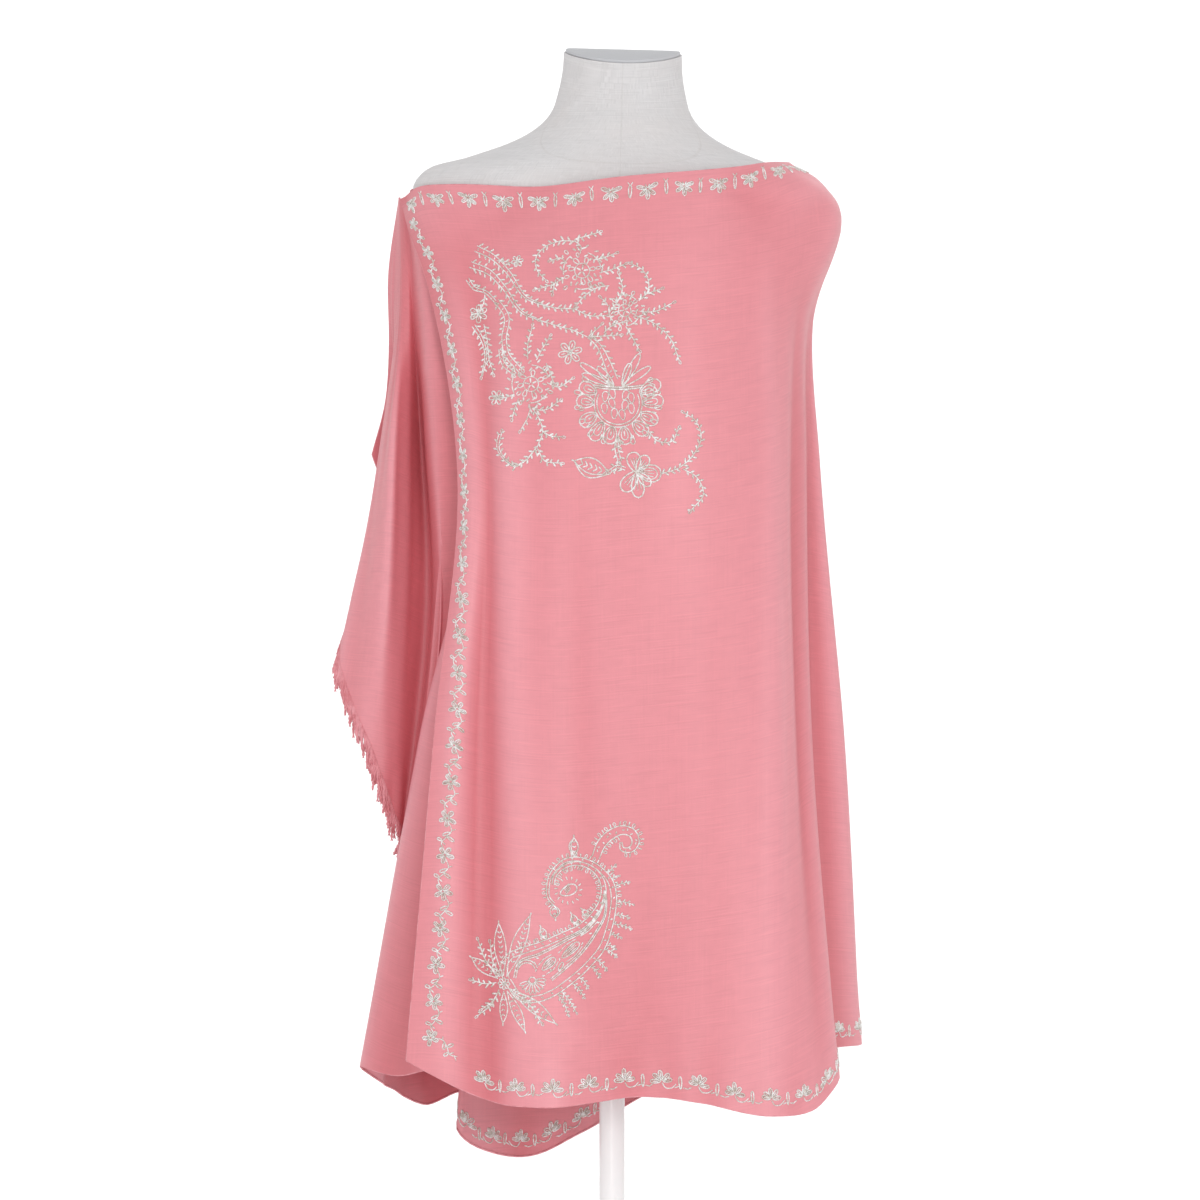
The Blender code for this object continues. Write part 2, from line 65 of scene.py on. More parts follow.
# ---- the dress form ----
# height, half width, depth in front, depth behind and squareness of each level, from the rim up
FORM_LEVELS = (
    (752, 143, 92, 100, 2.2),  # lower rim
    (805, 150, 98, 108, 2.2),  # hip
    (885, 136, 94, 98, 2.2),  # high hip
    (985, 113, 84, 80, 2.1),  # waist
    (1070, 126, 103, 86, 2.2),  # ribs
    (1150, 142, 118, 97, 2.3),  # bust
    (1235, 150, 104, 103, 2.4),  # armhole
    (1290, 179, 95, 101, 2.4),  # foot of the shoulder cap
    (1335, 192, 88, 94, 2.3),
    (1362, 195, 83, 87, 2.2),  # widest point of the shoulder cap
    (1379, 195, 79, 81, 2.2),
    (1388, 189, 76, 77, 2.1),
    (1396, 177, 73, 74, 2.1),
    (1403, 151, 71, 72, 2.1),
    (1410, 131, 69, 70, 2.0),
    (1417, 112, 67, 68, 2.0),
    (1425, 95, 65, 67, 2.0),
    (1435, 80, 63, 65, 2.0),  # foot of the neck
    (1450, 67, 58, 60, 2.0),
    (1468, 61, 54, 56, 2.0),
    (1490, 57, 51, 53, 2.0),
    (1508, 56, 50, 52, 2.0),  # top of the neck
)
FORM_LEAN = math.radians(1.5)
LEAN_START, LEAN_END = 960.0, 1260.0
NECK_TILT = math.radians(13.0)
TILT_START, TILT_END = 1425.0, 1500.0
NECK_BEND = 0.0018          # the neck's top dips in front and behind, by this times the depth squared
FORM_SIDES = 120
FORM_RINGS = 130
TREE_RINGS = 110            # of the plainer surface that keeps the cloth clear of the form
SEAM_HALF_WIDTH = 0.8
RIM_ROUND = 2.0             # how far the lower rim rounds in under the torso
RIM_REACH = 110.0           # about how far the rim is from the torso's middle
NECK_SEAM_HEIGHT = 1463.0   # where the neckline seam crosses the form's middle
NECK_SEAM_SLOPE = 0.92      # how much lower the seam runs in front than behind

# ---- the stand ----
POLE_RADIUS, SOCKET_RADIUS, SOCKET_FLANGE_RADIUS = 12.0, 20.0, 44.0
SOCKET_LENGTH, FLANGE_THICKNESS, PLAY = 60.0, 5.0, 0.3
BASE_RADIUS, BASE_THICKNESS, BOSS_RADIUS, BOSS_HEIGHT, BOSS_FLARE = 180.0, 8.0, 28.0, 34.0, 14.0
EDGE_ROUND = 3.0

# ---- how the cloth lies ----
CLOTH_WALL = 1.5            # from the hang lines to the cloth's outer face
FORM_CLEARANCE = 0.4
LAYER_PITCH = 3.0           # what each further layer of cloth adds at the left shoulder
SHOULDER_DROP = 14.0
CONTACT_BLEND = 1.3
CLEARING_PASSES = 3
OUT_OF_REACH = 8            # this many blends past its clearance, cloth is left as it hangs
SMALLEST_LIFT = 0.15        # crease height from which the cloth is checked against the form again
CLOTH_SHARP_ANGLE = 60
CHEST_LEVEL, BUST_LEVEL, HIP_LEVEL = 1250.0, 1120.0, 860.0

# one row for each line of cloth: its distance from the embroidered end, the layers of cloth under it
# at the shoulder, then x, y, z at the top, x, y, z at the shoulder, x, y at chest, bust and hip level
# and x, y, z at the hem
HANG_LINES = (
    (0, 2, -200, -3, 1369, -180, -37, 1312, -163, -60, -143, -88, -164, -112, -189, -122, 566),  # front end
    (26, 2, -176, -28, 1376, -160, -60, 1312, -146, -82, -131, -106, -145, -119, -158, -126, 550),  # roll
    (55, 1, -147, -45, 1375, -133, -76, 1312, -124, -94, -116, -116, -120, -119, -123, -124, 533),  # valley
    (112, 0, -77, -76, 1372, -72, -100, 1312, -67, -116, -65, -134, -66, -134, -66, -143, 526),  # left crest
    (198, 0, 12, -90, 1381, 12, -108, 1315, 12, -120, 11, -137, 14, -134, 30, -126, 534),  # front centre
    (262, 0, 86, -80, 1388, 86, -100, 1320, 85, -112, 88, -130, 89, -131, 85, -133, 528),  # right centre
    (322, 0, 136, -50, 1396, 141, -74, 1328, 139, -86, 140, -103, 143, -112, 144, -134, 517),  # right crest
    (376, 0, 157, -22, 1401, 182, -42, 1350, 172, -47, 170, -60, 175, -72, 190, -108, 523),  # right valley
    (408, 0, 166, -5, 1403, 205, -18, 1366, 181, -24, 181, -32, 186, -48, 209, -78, 545),  # right fold
    (440, 0, 168, 5, 1404, 212, 2, 1368, 185, -2, 184, -5, 187, -12, 202, -38, 563),  # side valley
    (492, 0, 166, 20, 1404, 206, 24, 1366, 190, 18, 197, 15, 220, 15, 236, 22, 565),  # side fold
    (545, 0, 156, 38, 1402, 186, 50, 1352, 180, 56, 180, 62, 204, 66, 218, 72, 566),  # side hollow
    (610, 0, 128, 57, 1397, 148, 78, 1330, 146, 90, 144, 98, 166, 116, 182, 134, 556),  # back right fold
    (680, 0, 78, 73, 1390, 84, 98, 1315, 85, 111, 84, 114, 104, 126, 112, 130, 538),  # back hollow
    (752, 0, 20, 82, 1385, 20, 106, 1315, 20, 119, 20, 122, 32, 146, 36, 150, 502),  # back crest
    (805, 0, -24, 82, 1383, -24, 106, 1315, -24, 118, -24, 121, -20, 142, -26, 128, 468),  # back slope
    (860, 0, -68, 79, 1382, -68, 102, 1315, -70, 114, -70, 117, -76, 134, -88, 100, 446),  # back low wave
    (915, 0, -112, 70, 1382, -116, 92, 1315, -118, 104, -116, 104, -134, 112, -148, 62, 476),  # inner fold
    (950, 0, -132, 60, 1382, -138, 80, 1318, -138, 94, -136, 94, -154, 118, -146, 104, 508),  # behind fold
    (988, 0, -156, 44, 1382, -162, 62, 1322, -162, 76, -156, 76, -184, 98, -178, 94, 498),  # far low wave
    (1046, 0, -180, 22, 1381, -184, 30, 1330, -178, 36, -160, 36, -194, 52, -210, 40, 520),  # left side
    (1091, 0, -188, 8, 1379, -183, 4, 1325, -153, -6, -139, -14, -154, -22, -221, 2, 532),  # left hollow
    (1136, 0, -187, -6, 1371, -178, -26, 1318, -150, -62, -127, -86, -179, -60, -236, -16, 548),  # under fold
    (1166, 0, -181, -16, 1366, -166, -43, 1315, -136, -76, -119, -95, -158, -88, -204, -52, 544),  # under
    (1201, 0, -170, -27, 1363, -148, -57, 1312, -120, -86, -106, -104, -136, -100, -171, -82, 553),  # hidden
    (1241, 0, -154, -36, 1361, -126, -70, 1310, -96, -96, -84, -114, -98, -112, -122, -98, 560),  # under end
)
WRAP_NODES = ("front_panel", "right_side", "back_panel", "left_fold")
WRAP_STEP = 6.0             # grid spacing along the cloth
WRAP_STATIONS = 132         # grid rows from the top border to the hem
WRAP_CROWDING = 1.35        # above 1 the grid rows crowd towards the top

# ---- the far end, gathered at the left shoulder ----
# one row for each fold: its distance across, the layers under it, then x, y, z from shoulder to fringe
GATHER_LINES = (
    (0, 1, -180, -32, 1350, -160, -46, 1242, -137, -68, 1129, -149, -56, 985, -190, -12, 728),  # under edge
    (40, 1, -186, -22, 1352, -174, -40, 1243, -169, -60, 1126, -166, -62, 1000, -196, -12, 742),  # upper fold
    (95, 1, -191, -8, 1356, -186, -2, 1246, -181, 6, 1141, -175, -4, 1000, -199, -3, 761),  # deep hollow
    (145, 1, -197, -2, 1366, -193, -4, 1245, -194, -13, 1140, -197, -20, 980, -209, -14, 797),  # inner drape
    (195, 1, -199, 2, 1369, -199, -3, 1247, -206, -26, 1149, -214, -36, 1000, -229, -24, 857),  # drape crest
    (255, 1, -201, 6, 1371, -203, 7, 1250, -217, 4, 1150, -234, 2, 1046, -258, 4, 942),  # outer fold
    (330, 1, -202, 11, 1372, -207, 25, 1262, -205, 36, 1190, -199, 43, 1120, -209, 46, 1056),  # behind drape
    (385, 1, -202, 16, 1373, -213, 32, 1300, -213, 40, 1235, -217, 42, 1180, -230, 36, 1128),  # top border
)
FAR_END_STEP = 4.5
FAR_END_STATIONS = 96
FAR_END_CROWDING = 1.15

# ---- soft creases: negative heights are troughs ----
# along and down of its start and of its end, width and height; on the far end along means across
WRAP_CREASES = (
    (54, 60, 57, 900, 13, -7.2),  # beside the embroidered end
    (24, 210, 24, 860, 8, 1.8), (84, 120, 86, 640, 14, 3.6), (92, 470, 90, 900, 14, 2.8),
    (150, 260, 158, 800, 16, -2.0), (196, 420, 186, 880, 16, 1.2), (232, 340, 240, 820, 15, -1.2),
    (252, 120, 236, 330, 10, 0.9), (262, 240, 268, 880, 26, -2.2), (330, 240, 330, 900, 15, 4.0),
    (322, 70, 334, 320, 11, 1.5), (381, 120, 385, 860, 15, -7.4), (424, 250, 430, 760, 8, -1.4),
    (470, 120, 462, 520, 11, -1.6), (520, 340, 534, 800, 12, 1.5), (578, 140, 566, 620, 11, -2.0),
    (640, 260, 648, 790, 14, 1.8), (706, 110, 716, 560, 12, -1.8), (742, 420, 728, 860, 15, 1.6),
    (790, 200, 782, 700, 12, -1.7), (832, 340, 846, 880, 13, 1.5), (884, 180, 892, 760, 10, -1.5),
    (968, 240, 974, 800, 9, -1.3), (1018, 160, 1010, 640, 10, 1.2), (1064, 330, 1070, 760, 8, -1.1),
    (1164, 380, 1186, 900, 12, -4.0),  # in the shade behind the embroidered end
)
FAR_END_CREASES = (
    (84, 130, 100, 590, 20, -3.4),  # in the shade behind the embroidered end
    (30, 150, 40, 620, 32, -10.0), (150, 170, 150, 560, 16, 2.4), (218, 60, 226, 330, 9, -1.3),
    (196, 160, 184, 430, 12, 1.8), (254, 200, 226, 470, 11, -1.6), (286, 90, 292, 300, 9, -1.0),
    (352, 40, 344, 190, 8, 0.8), (128, 180, 134, 480, 8, -0.7),
)
PAINTED_LIGHT_REACH = 34.0            # width of cloth that a place is compared with, for its painted light
PAINTED_LIGHT_RELIEF = 4.0            # relief at which the painted light is a full highlight or a full shade
# painted shade where other layers lie close over the cloth and shade it: centre, reach, how much,
# and how far down it sets in and is full
WRAP_PAINTED_SHADE = ((1165, 60, 0.75, 40, 160), (412, 34, 0.4, 100, 300), (20, 40, 0.5, 260, 60))
FAR_END_PAINTED_SHADE = ((50, 66, 0.95, 40, 260), (160, 110, 0.5, 360, 120), (190, 90, 0.25, 200, 480))
HEM_WAVE = 1.6              # flutter of the free hem
HEM_WAVE_REACH = 70.0       # how far up the cloth it fades out
HEM_WAVE_LENGTHS = (93.0, 41.0)

# ---- trims ----
ROLL_SIDES = 6
TASSEL_SPACING = 2.0
TASSEL_LENGTH = 16.5
TASSEL_PLY_RADIUS = 0.95
TASSEL_TWIST = 6.0          # length of one turn of its plies
TASSEL_POINTS, STRAND_POINTS = 9, 6
TASSEL_SIDES, STRAND_SIDES = 5, 3
STRAND_RADIUS = 0.22
TUFT_PITCH = 11.0           # the fringe bunches into tufts about this far apart
LOOSE_THREADS = 130
FRINGE_END = 20.0           # how far before the top border the fringe stops
STITCH_STEP = 1.5           # longest piece of a sewn line
STITCH_SINK = 0.25          # how deep a sewn line's foot sits in the cloth

BORDER_PITCH = 34.2         # one flower and one bar
TOP_BORDER_INSET = 14.0     # flower centres below the top border
HEM_BORDER_INSET = 15.0     # flower centres above the hem
# how far down a flower is, and how far in from the embroidered end
END_BORDER_INSETS = ((0, 17), (200, 15), (290, 11.5), (370, 13), (440, 18), (520, 20.5), (900, 20.5))
CORNER_TURN = math.radians(58)      # the last repeat down the end turns the corner towards the hem border
BORDER_REACH = 962.0        # how far along the cloth the borders run
INNER_HEM_RANGE = (660.0, 962.0)    # where the hem border shows on the inside too

# ---- the spray and the paisley on the front, drawn from the front in millimetres ----
SPRAY_ORIGIN = (-135.8, 1302.2)
PAISLEY_ORIGIN = (-99.3, 637.4)


def sprig(*points, sides="both", twin=(0, 0)):
    """Stem from root to tip with leaves on its sides; twin is the gap to a second line at both ends."""
    return points, sides, twin


SPRIGS = (
    sprig((8, 11), (22, 4), (37, -10), (57, -36), (72, -42), twin=(5.5, 1.0)),
    sprig((72, -42), (86, -45), (101, -46), (114, -52), (130, -52)),
    sprig((3, -4), (20, -11), (33, -24), (54, -50), (66, -55), twin=(5.5, 1.0)),
    sprig((66, -55), (84, -61), (103, -67), (113, -72)),
    sprig((113, -72), (121, -80), (128, -96), (133, -113), twin=(2.0, 8.0)),
    sprig((0, -16), (7, -25), (18, -29), (27, -38), sides="left", twin=(3.0, 2.0)),
    sprig((27, -38), (36, -52), (34, -72), (36, -86), (50, -104), twin=(4.5, 4.0)),
    sprig((31, -82), (34, -96), (44, -106), twin=(3.0, 3.0)),
    sprig((6, -60), (14, -72), (18, -86), (15, -106), twin=(3.0, 1.0)),
    sprig((17, -58), (20, -72), (22, -90), (26, -104)), sprig((18, -30), (16, -40), (8, -50)),
    sprig((29, 1), (37, 0), (44, -2)),
    # arch over the upper flower
    sprig((106, 6), (107, 12), (101, 19), (110, 22), (123, 26)),
    sprig((101, 18), (87, 18), (74, 13), (65, 2), (66, -8), (74, -18)),
    sprig((118, 0), (127, 2), (138, 6)), sprig((124, -12), (135, -9), (147, -4)),
    sprig((92, -16), (82, -22), (66, -27)), sprig((84, -18), (82, -24), (81, -30)),
    sprig((133, -24), (122, -26), (110, -34), (103, -42)), sprig((94, -3), (88, 2), (80, 0)),
    # round the right-hand flower
    sprig((160, -38), (168, -30), (168, -16), (162, -8), (154, -4)),
    sprig((132, -50), (141, -38), (145, -26), (142, -14)), sprig((166, -32), (172, -30), (180, -27)),
    sprig((160, -48), (174, -48), (191, -40)), sprig((158, -52), (174, -59), (189, -73), (197, -93)),
    sprig((148, -62), (154, -72), (160, -83)), sprig((114, -71), (120, -66), (125, -61), sides="left"),
    sprig((114, -72), (127, -71), (142, -70)), sprig((128, -68), (136, -61), (146, -58)),
    sprig((132, -43), (128, -38), (126, -36)),
    # round the left-hand flower
    sprig((58, -92), (58, -79), (62, -62)), sprig((66, -93), (71, -83), (78, -72)),
    sprig((75, -96), (79, -106), (82, -114)), sprig((76, -114), (86, -118), (98, -111)),
    sprig((62, -138), (74, -139), (87, -131)), sprig((61, -136), (58, -146), (52, -157), sides="left"),
    sprig((46, -124), (38, -127), (29, -126)), sprig((50, -128), (46, -138), (44, -146)),
    sprig((62, -136), (68, -146), (72, -158), (67, -173)),
    sprig((66, -174), (56, -185), (46, -190), (38, -184), (32, -174), (34, -160), twin=(0, 2.5)),
    sprig((67, -174), (74, -186), (88, -188)), sprig((71, -158), (79, -163), (89, -164)),
    # below the large flower
    sprig((139, -164), (138, -174), (141, -187), twin=(3.0, 3.0)),
    sprig((168, -158), (178, -168), (190, -168), (196, -157)),
    sprig((180, -198), (197, -192), (210, -180), (217, -164), (212, -149), (202, -142)),
    sprig((200, -193), (213, -201), (219, -216), (208, -231)),
    sprig((148, -192), (140, -190), (131, -196), twin=(2.5, 2.5)),
)
LEAF_PITCH = 5.8            # between two leaves on the same side of a stem
LEAF_LENGTH, LEAF_WIDTH = 4.0, 2.2
STEM_POINTS, BAND_POINTS, SCROLL_POINTS = 60, 140, 90
SHORTEST_STROKE = 0.4

# flowers of the spray, each turned by some degrees
Bloom = namedtuple("Bloom", "kind centre radius turn")
BLOOMS = (
    Bloom("cluster", (108, -10), 23, 10),
    Bloom("cluster", (147, -47), 19, 40),
    Bloom("cluster", (61, -115), 23, 25),
    Bloom("star", (97, -86), 11, 15),
    Bloom("star", (48, 0), 5.5, 70),
    Bloom("star", (29, -127), 7.0, 0),
    Bloom("star", (12, -48), 8.5, 30),
    Bloom("large", (141, -133), 39, 0),
    Bloom("lobed", (158, -196), 22, 0),
)
VEINED_LEAF = ((134, -198), (101, -186), 10)      # base, tip and half width
FAN_BLADES = ((-35, 37), (-33, 27), (-19, 34), (20, 46), (30, 34), (11, 37))

# lines of the paisley: points, gap to the doubled line at both ends (to the right of the way where
# it is negative), how far the little hooks along it start and end, and the side that they are on
Band = namedtuple("Band", "points gap hooks side")
PAISLEY_BANDS = (
    # upper edge of the body and the inside of its curl
    Band(((-1, 4), (-3, 17), (4, 28), (15, 33), (33, 39), (53, 47.5), (69, 55), (80, 65), (87, 76),
          (89, 88), (85, 99), (77, 106), (66, 109), (56, 106.5), (48, 99), (46, 91)),
     (-6.0, -2.2), (0.2, 1.0), 1),
    # lower edge of the body and the outside of its curl
    Band(((1, 1), (13, -14), (29, -16), (46, -10), (62, 1), (80, 17), (92, 32), (98, 48), (102, 66),
          (103, 81), (99, 96), (89, 107), (77, 114), (64, 116.5), (54, 114), (46, 107), (41, 99),
          (39, 89), (40, 79), (45, 73)),
     (6.0, 2.0), (0.56, 1.0), -1),
    # the leaf shape inside
    Band(((9, 6), (13, 20), (33, 29), (56, 41), (77, 53), (88, 68), (92.6, 86)), (-1.9, -1.2), None, 1),
    Band(((44, 4), (56, 14), (72, 29), (85, 47), (93, 63), (94, 76), (92.6, 86)), (1.9, 1.2), None, 1),
)
# x, y and half width of the scroll on top of the curl; then centre and radius of the bud inside it
PAISLEY_SCROLL = ((84, 116, 3.4), (89, 128, 4.0), (98, 137, 4.2), (108, 141, 4.0), (117, 138.5, 3.6),
                  (120.5, 130, 3.2), (115.5, 123, 2.4), (108, 124, 1.6), (107, 130, 0.8))
PAISLEY_BUD = ((59, 86), 11.5)
# kind, tip and half width of the leaves round the base, which all start there
BASE_LEAVES = (
    ("leaf", (-30, 23), 5.0), ("sprig", (-24, 38), 0), ("leaf", (-5, 55), 6.0), ("leaf", (24, 63), 6.5),
    ("sprig", (-29, 2), 0), ("sprig", (-20, -24), 0), ("sprig", (-24, -30), 0), ("leaf", (-1, -36), 4.0),
    ("leaf", (19, -42), 4.6), ("leaf", (47, -35), 6.0), ("sprig", (34, -34), 0), ("sprig", (-13, 36), 0),
)
# tips of the sprigs and small leaves that stand on the outline of the body
EDGE_SPRIGS = ((59, -27), (66, -25), (73, -11), (76, -2), (87, 8), (93, 14), (102, 26), (101, 33),
               (106, 43), (115, 51), (113, 61), (117, 73), (113, 93), (104, 99), (101, 108))
EDGE_LEAVES = (((34, 52), 3.6), ((47, 61), 5.0), ((62, 64), 3.4), ((72, 68), 3.0), ((64, 134), 4.6))


# ---- curves ----
def spline(knots, values, positions):
    """Smooth curve through values at the given knots (Catmull-Rom with uneven knots)."""
    knots = np.asarray(knots, float)
    values = np.asarray(values, float)
    positions = np.clip(np.asarray(positions, float), knots[0], knots[-1])
    slopes = np.zeros_like(values)
    steps = np.diff(knots)
    shape = (-1,) + (1,) * (values.ndim - 1)
    chords = np.diff(values, axis=0) / steps.reshape(shape)
    weight = (steps[1:] / (steps[1:] + steps[:-1])).reshape(shape)
    slopes[1:-1] = chords[:-1] * weight + chords[1:] * (1 - weight)
    slopes[0], slopes[-1] = chords[0], chords[-1]
    index = np.clip(np.searchsorted(knots, positions, side="right") - 1, 0, len(knots) - 2)
    step = steps[index].reshape(shape)
    t = ((positions - knots[index]) / steps[index]).reshape(shape)
    return ((2 * t**3 - 3 * t**2 + 1) * values[index] + (t**3 - 2 * t**2 + t) * step * slopes[index]
            + (3 * t**2 - 2 * t**3) * values[index + 1] + (t**3 - t**2) * step * slopes[index + 1])


def smooth_step(value, start, end):
    share = np.clip((value - start) / (end - start), 0.0, 1.0)
    return share * share * (3 - 2 * share)


def path_lengths(points):
    """Distance along a row of points, from its first point."""
    return np.concatenate(([0.0], np.cumsum(np.linalg.norm(np.diff(points, axis=0), axis=1))))


def curve_through(points, count=121):
    points = np.array(points, float)
    lengths = path_lengths(points)
    return spline(lengths, points, np.linspace(0, lengths[-1], count))


def spaced(curve, shares):
    """Points of a dense curve at the given shares of its length."""
    lengths = path_lengths(curve)
    wanted = np.asarray(shares) * lengths[-1]
    return np.stack([np.interp(wanted, lengths, curve[:, axis]) for axis in range(curve.shape[1])], axis=1)


def unit(vectors):
    return vectors / np.maximum(np.linalg.norm(vectors, axis=-1, keepdims=True), 1e-9)


def directions(points, axis=0):
    """Unit directions along one axis of a grid, the mean of the two steps that meet at a point."""
    steps = unit(np.diff(points, axis=axis))
    first, last = np.take(steps, [0], axis=axis), np.take(steps, [-1], axis=axis)
    return unit(np.concatenate([first, steps], axis=axis) + np.concatenate([steps, last], axis=axis))


# ---- the form's surface ----
def form_rings(heights, sides):
    """Rings of points round the torso at the given heights, leaned and tilted."""
    levels = np.array(FORM_LEVELS, float)
    shapes = spline(levels[:, 0], levels[:, 1:], heights)
    angles = 2 * math.pi * np.arange(sides) / sides
    cosine, sine = np.cos(angles), np.sin(angles)
    rings = []
    for height, (half_width, front, back, squareness) in zip(heights, shapes):
        x = half_width * np.sign(cosine) * np.abs(cosine) ** (2 / squareness)
        y = np.where(sine < 0, front, back) * np.sign(sine) * np.abs(sine) ** (2 / squareness)
        z = height + smooth_step(height, TILT_START, TILT_END) * (math.tan(NECK_TILT) * y - NECK_BEND * y**2)
        lean = math.tan(FORM_LEAN) * smooth_step(height, LEAN_START, LEAN_END)
        pivot = (LEAN_START + LEAN_END) / 2
        rings.append(np.stack([x + lean * (z - pivot), y, z - lean * x], axis=1))
    return rings


def form_heights(count):
    """Heights from the torso's rim to the neck, closer together over the shoulders."""
    levels = np.array(FORM_LEVELS, float)
    outline = path_lengths(levels[:, :2])
    return np.interp(np.linspace(0, outline[-1], count), outline, levels[:, 0])


def ring_faces(ring_count, sides):
    """Quads between rings that are listed from the bottom up, facing out."""
    return [(low + side, low + (side + 1) % sides, low + sides + (side + 1) % sides, low + sides + side)
            for low in range(0, (ring_count - 1) * sides, sides) for side in range(sides)]


def ring_ends(ring_count, sides):
    """Faces that close the first and the last ring, facing out."""
    last = (ring_count - 1) * sides
    return [tuple(reversed(range(sides))), tuple(range(last, last + sides))]


@functools.lru_cache(maxsize=None)
def form_tree():
    """Search tree of the form's surface, which keeps the cloth clear of it."""
    points = np.concatenate(form_rings(form_heights(TREE_RINGS), FORM_SIDES))
    return BVHTree.FromPolygons([Vector(point) for point in points], ring_faces(TREE_RINGS, FORM_SIDES))


# ---- draped cloth ----
def keep_clear(points, clearance):
    """Moves cloth that would come too near the form out to its clearance, with a soft start."""
    cleared = points.copy()
    tree = form_tree()
    for index, point in enumerate(points):
        place, normal, _, distance = tree.find_nearest(Vector(point))
        outside = (Vector(point) - place).dot(normal) > 0
        signed = distance if outside else -distance
        excess = (signed - clearance[index]) / CONTACT_BLEND
        if excess > OUT_OF_REACH:
            continue
        lifted = clearance[index] + CONTACT_BLEND * math.log1p(math.exp(excess))
        direction = (Vector(point) - place).normalized() if outside and distance > 1 else normal
        cleared[index] = np.array(place + direction * lifted)
    return cleared


def layer_clearance(curve, layers):
    below = smooth_step(curve[0, 2] - curve[:, 2], 0, SHOULDER_DROP)
    return FORM_CLEARANCE + LAYER_PITCH * (np.minimum(layers, 1) + np.maximum(layers - 1, 0) * below)


def sheet_normals(sheet):
    """Unit normals of a grid of points, pointing away from the body."""
    return unit(np.cross(directions(sheet, axis=1), directions(sheet, axis=0)))


def crease_heights(creases, along, down):
    """Sum of all soft creases at each grid point: a rounded trough or ridge that fades at both ends."""
    total = np.zeros_like(down)
    for *ends, width, height in creases:
        start, end = np.reshape(ends, (2, 2)).astype(float)
        way = end - start
        length = np.linalg.norm(way)
        way /= length
        forward = (along - start[0]) * way[0] + (down - start[1]) * way[1]
        aside = (along - start[0]) * way[1] - (down - start[1]) * way[0]
        share = np.clip(forward / length, 0, 1)
        fade = np.sin(math.pi * share) ** 0.7
        total += height * fade * np.exp(-(aside / width) ** 2)
    return total


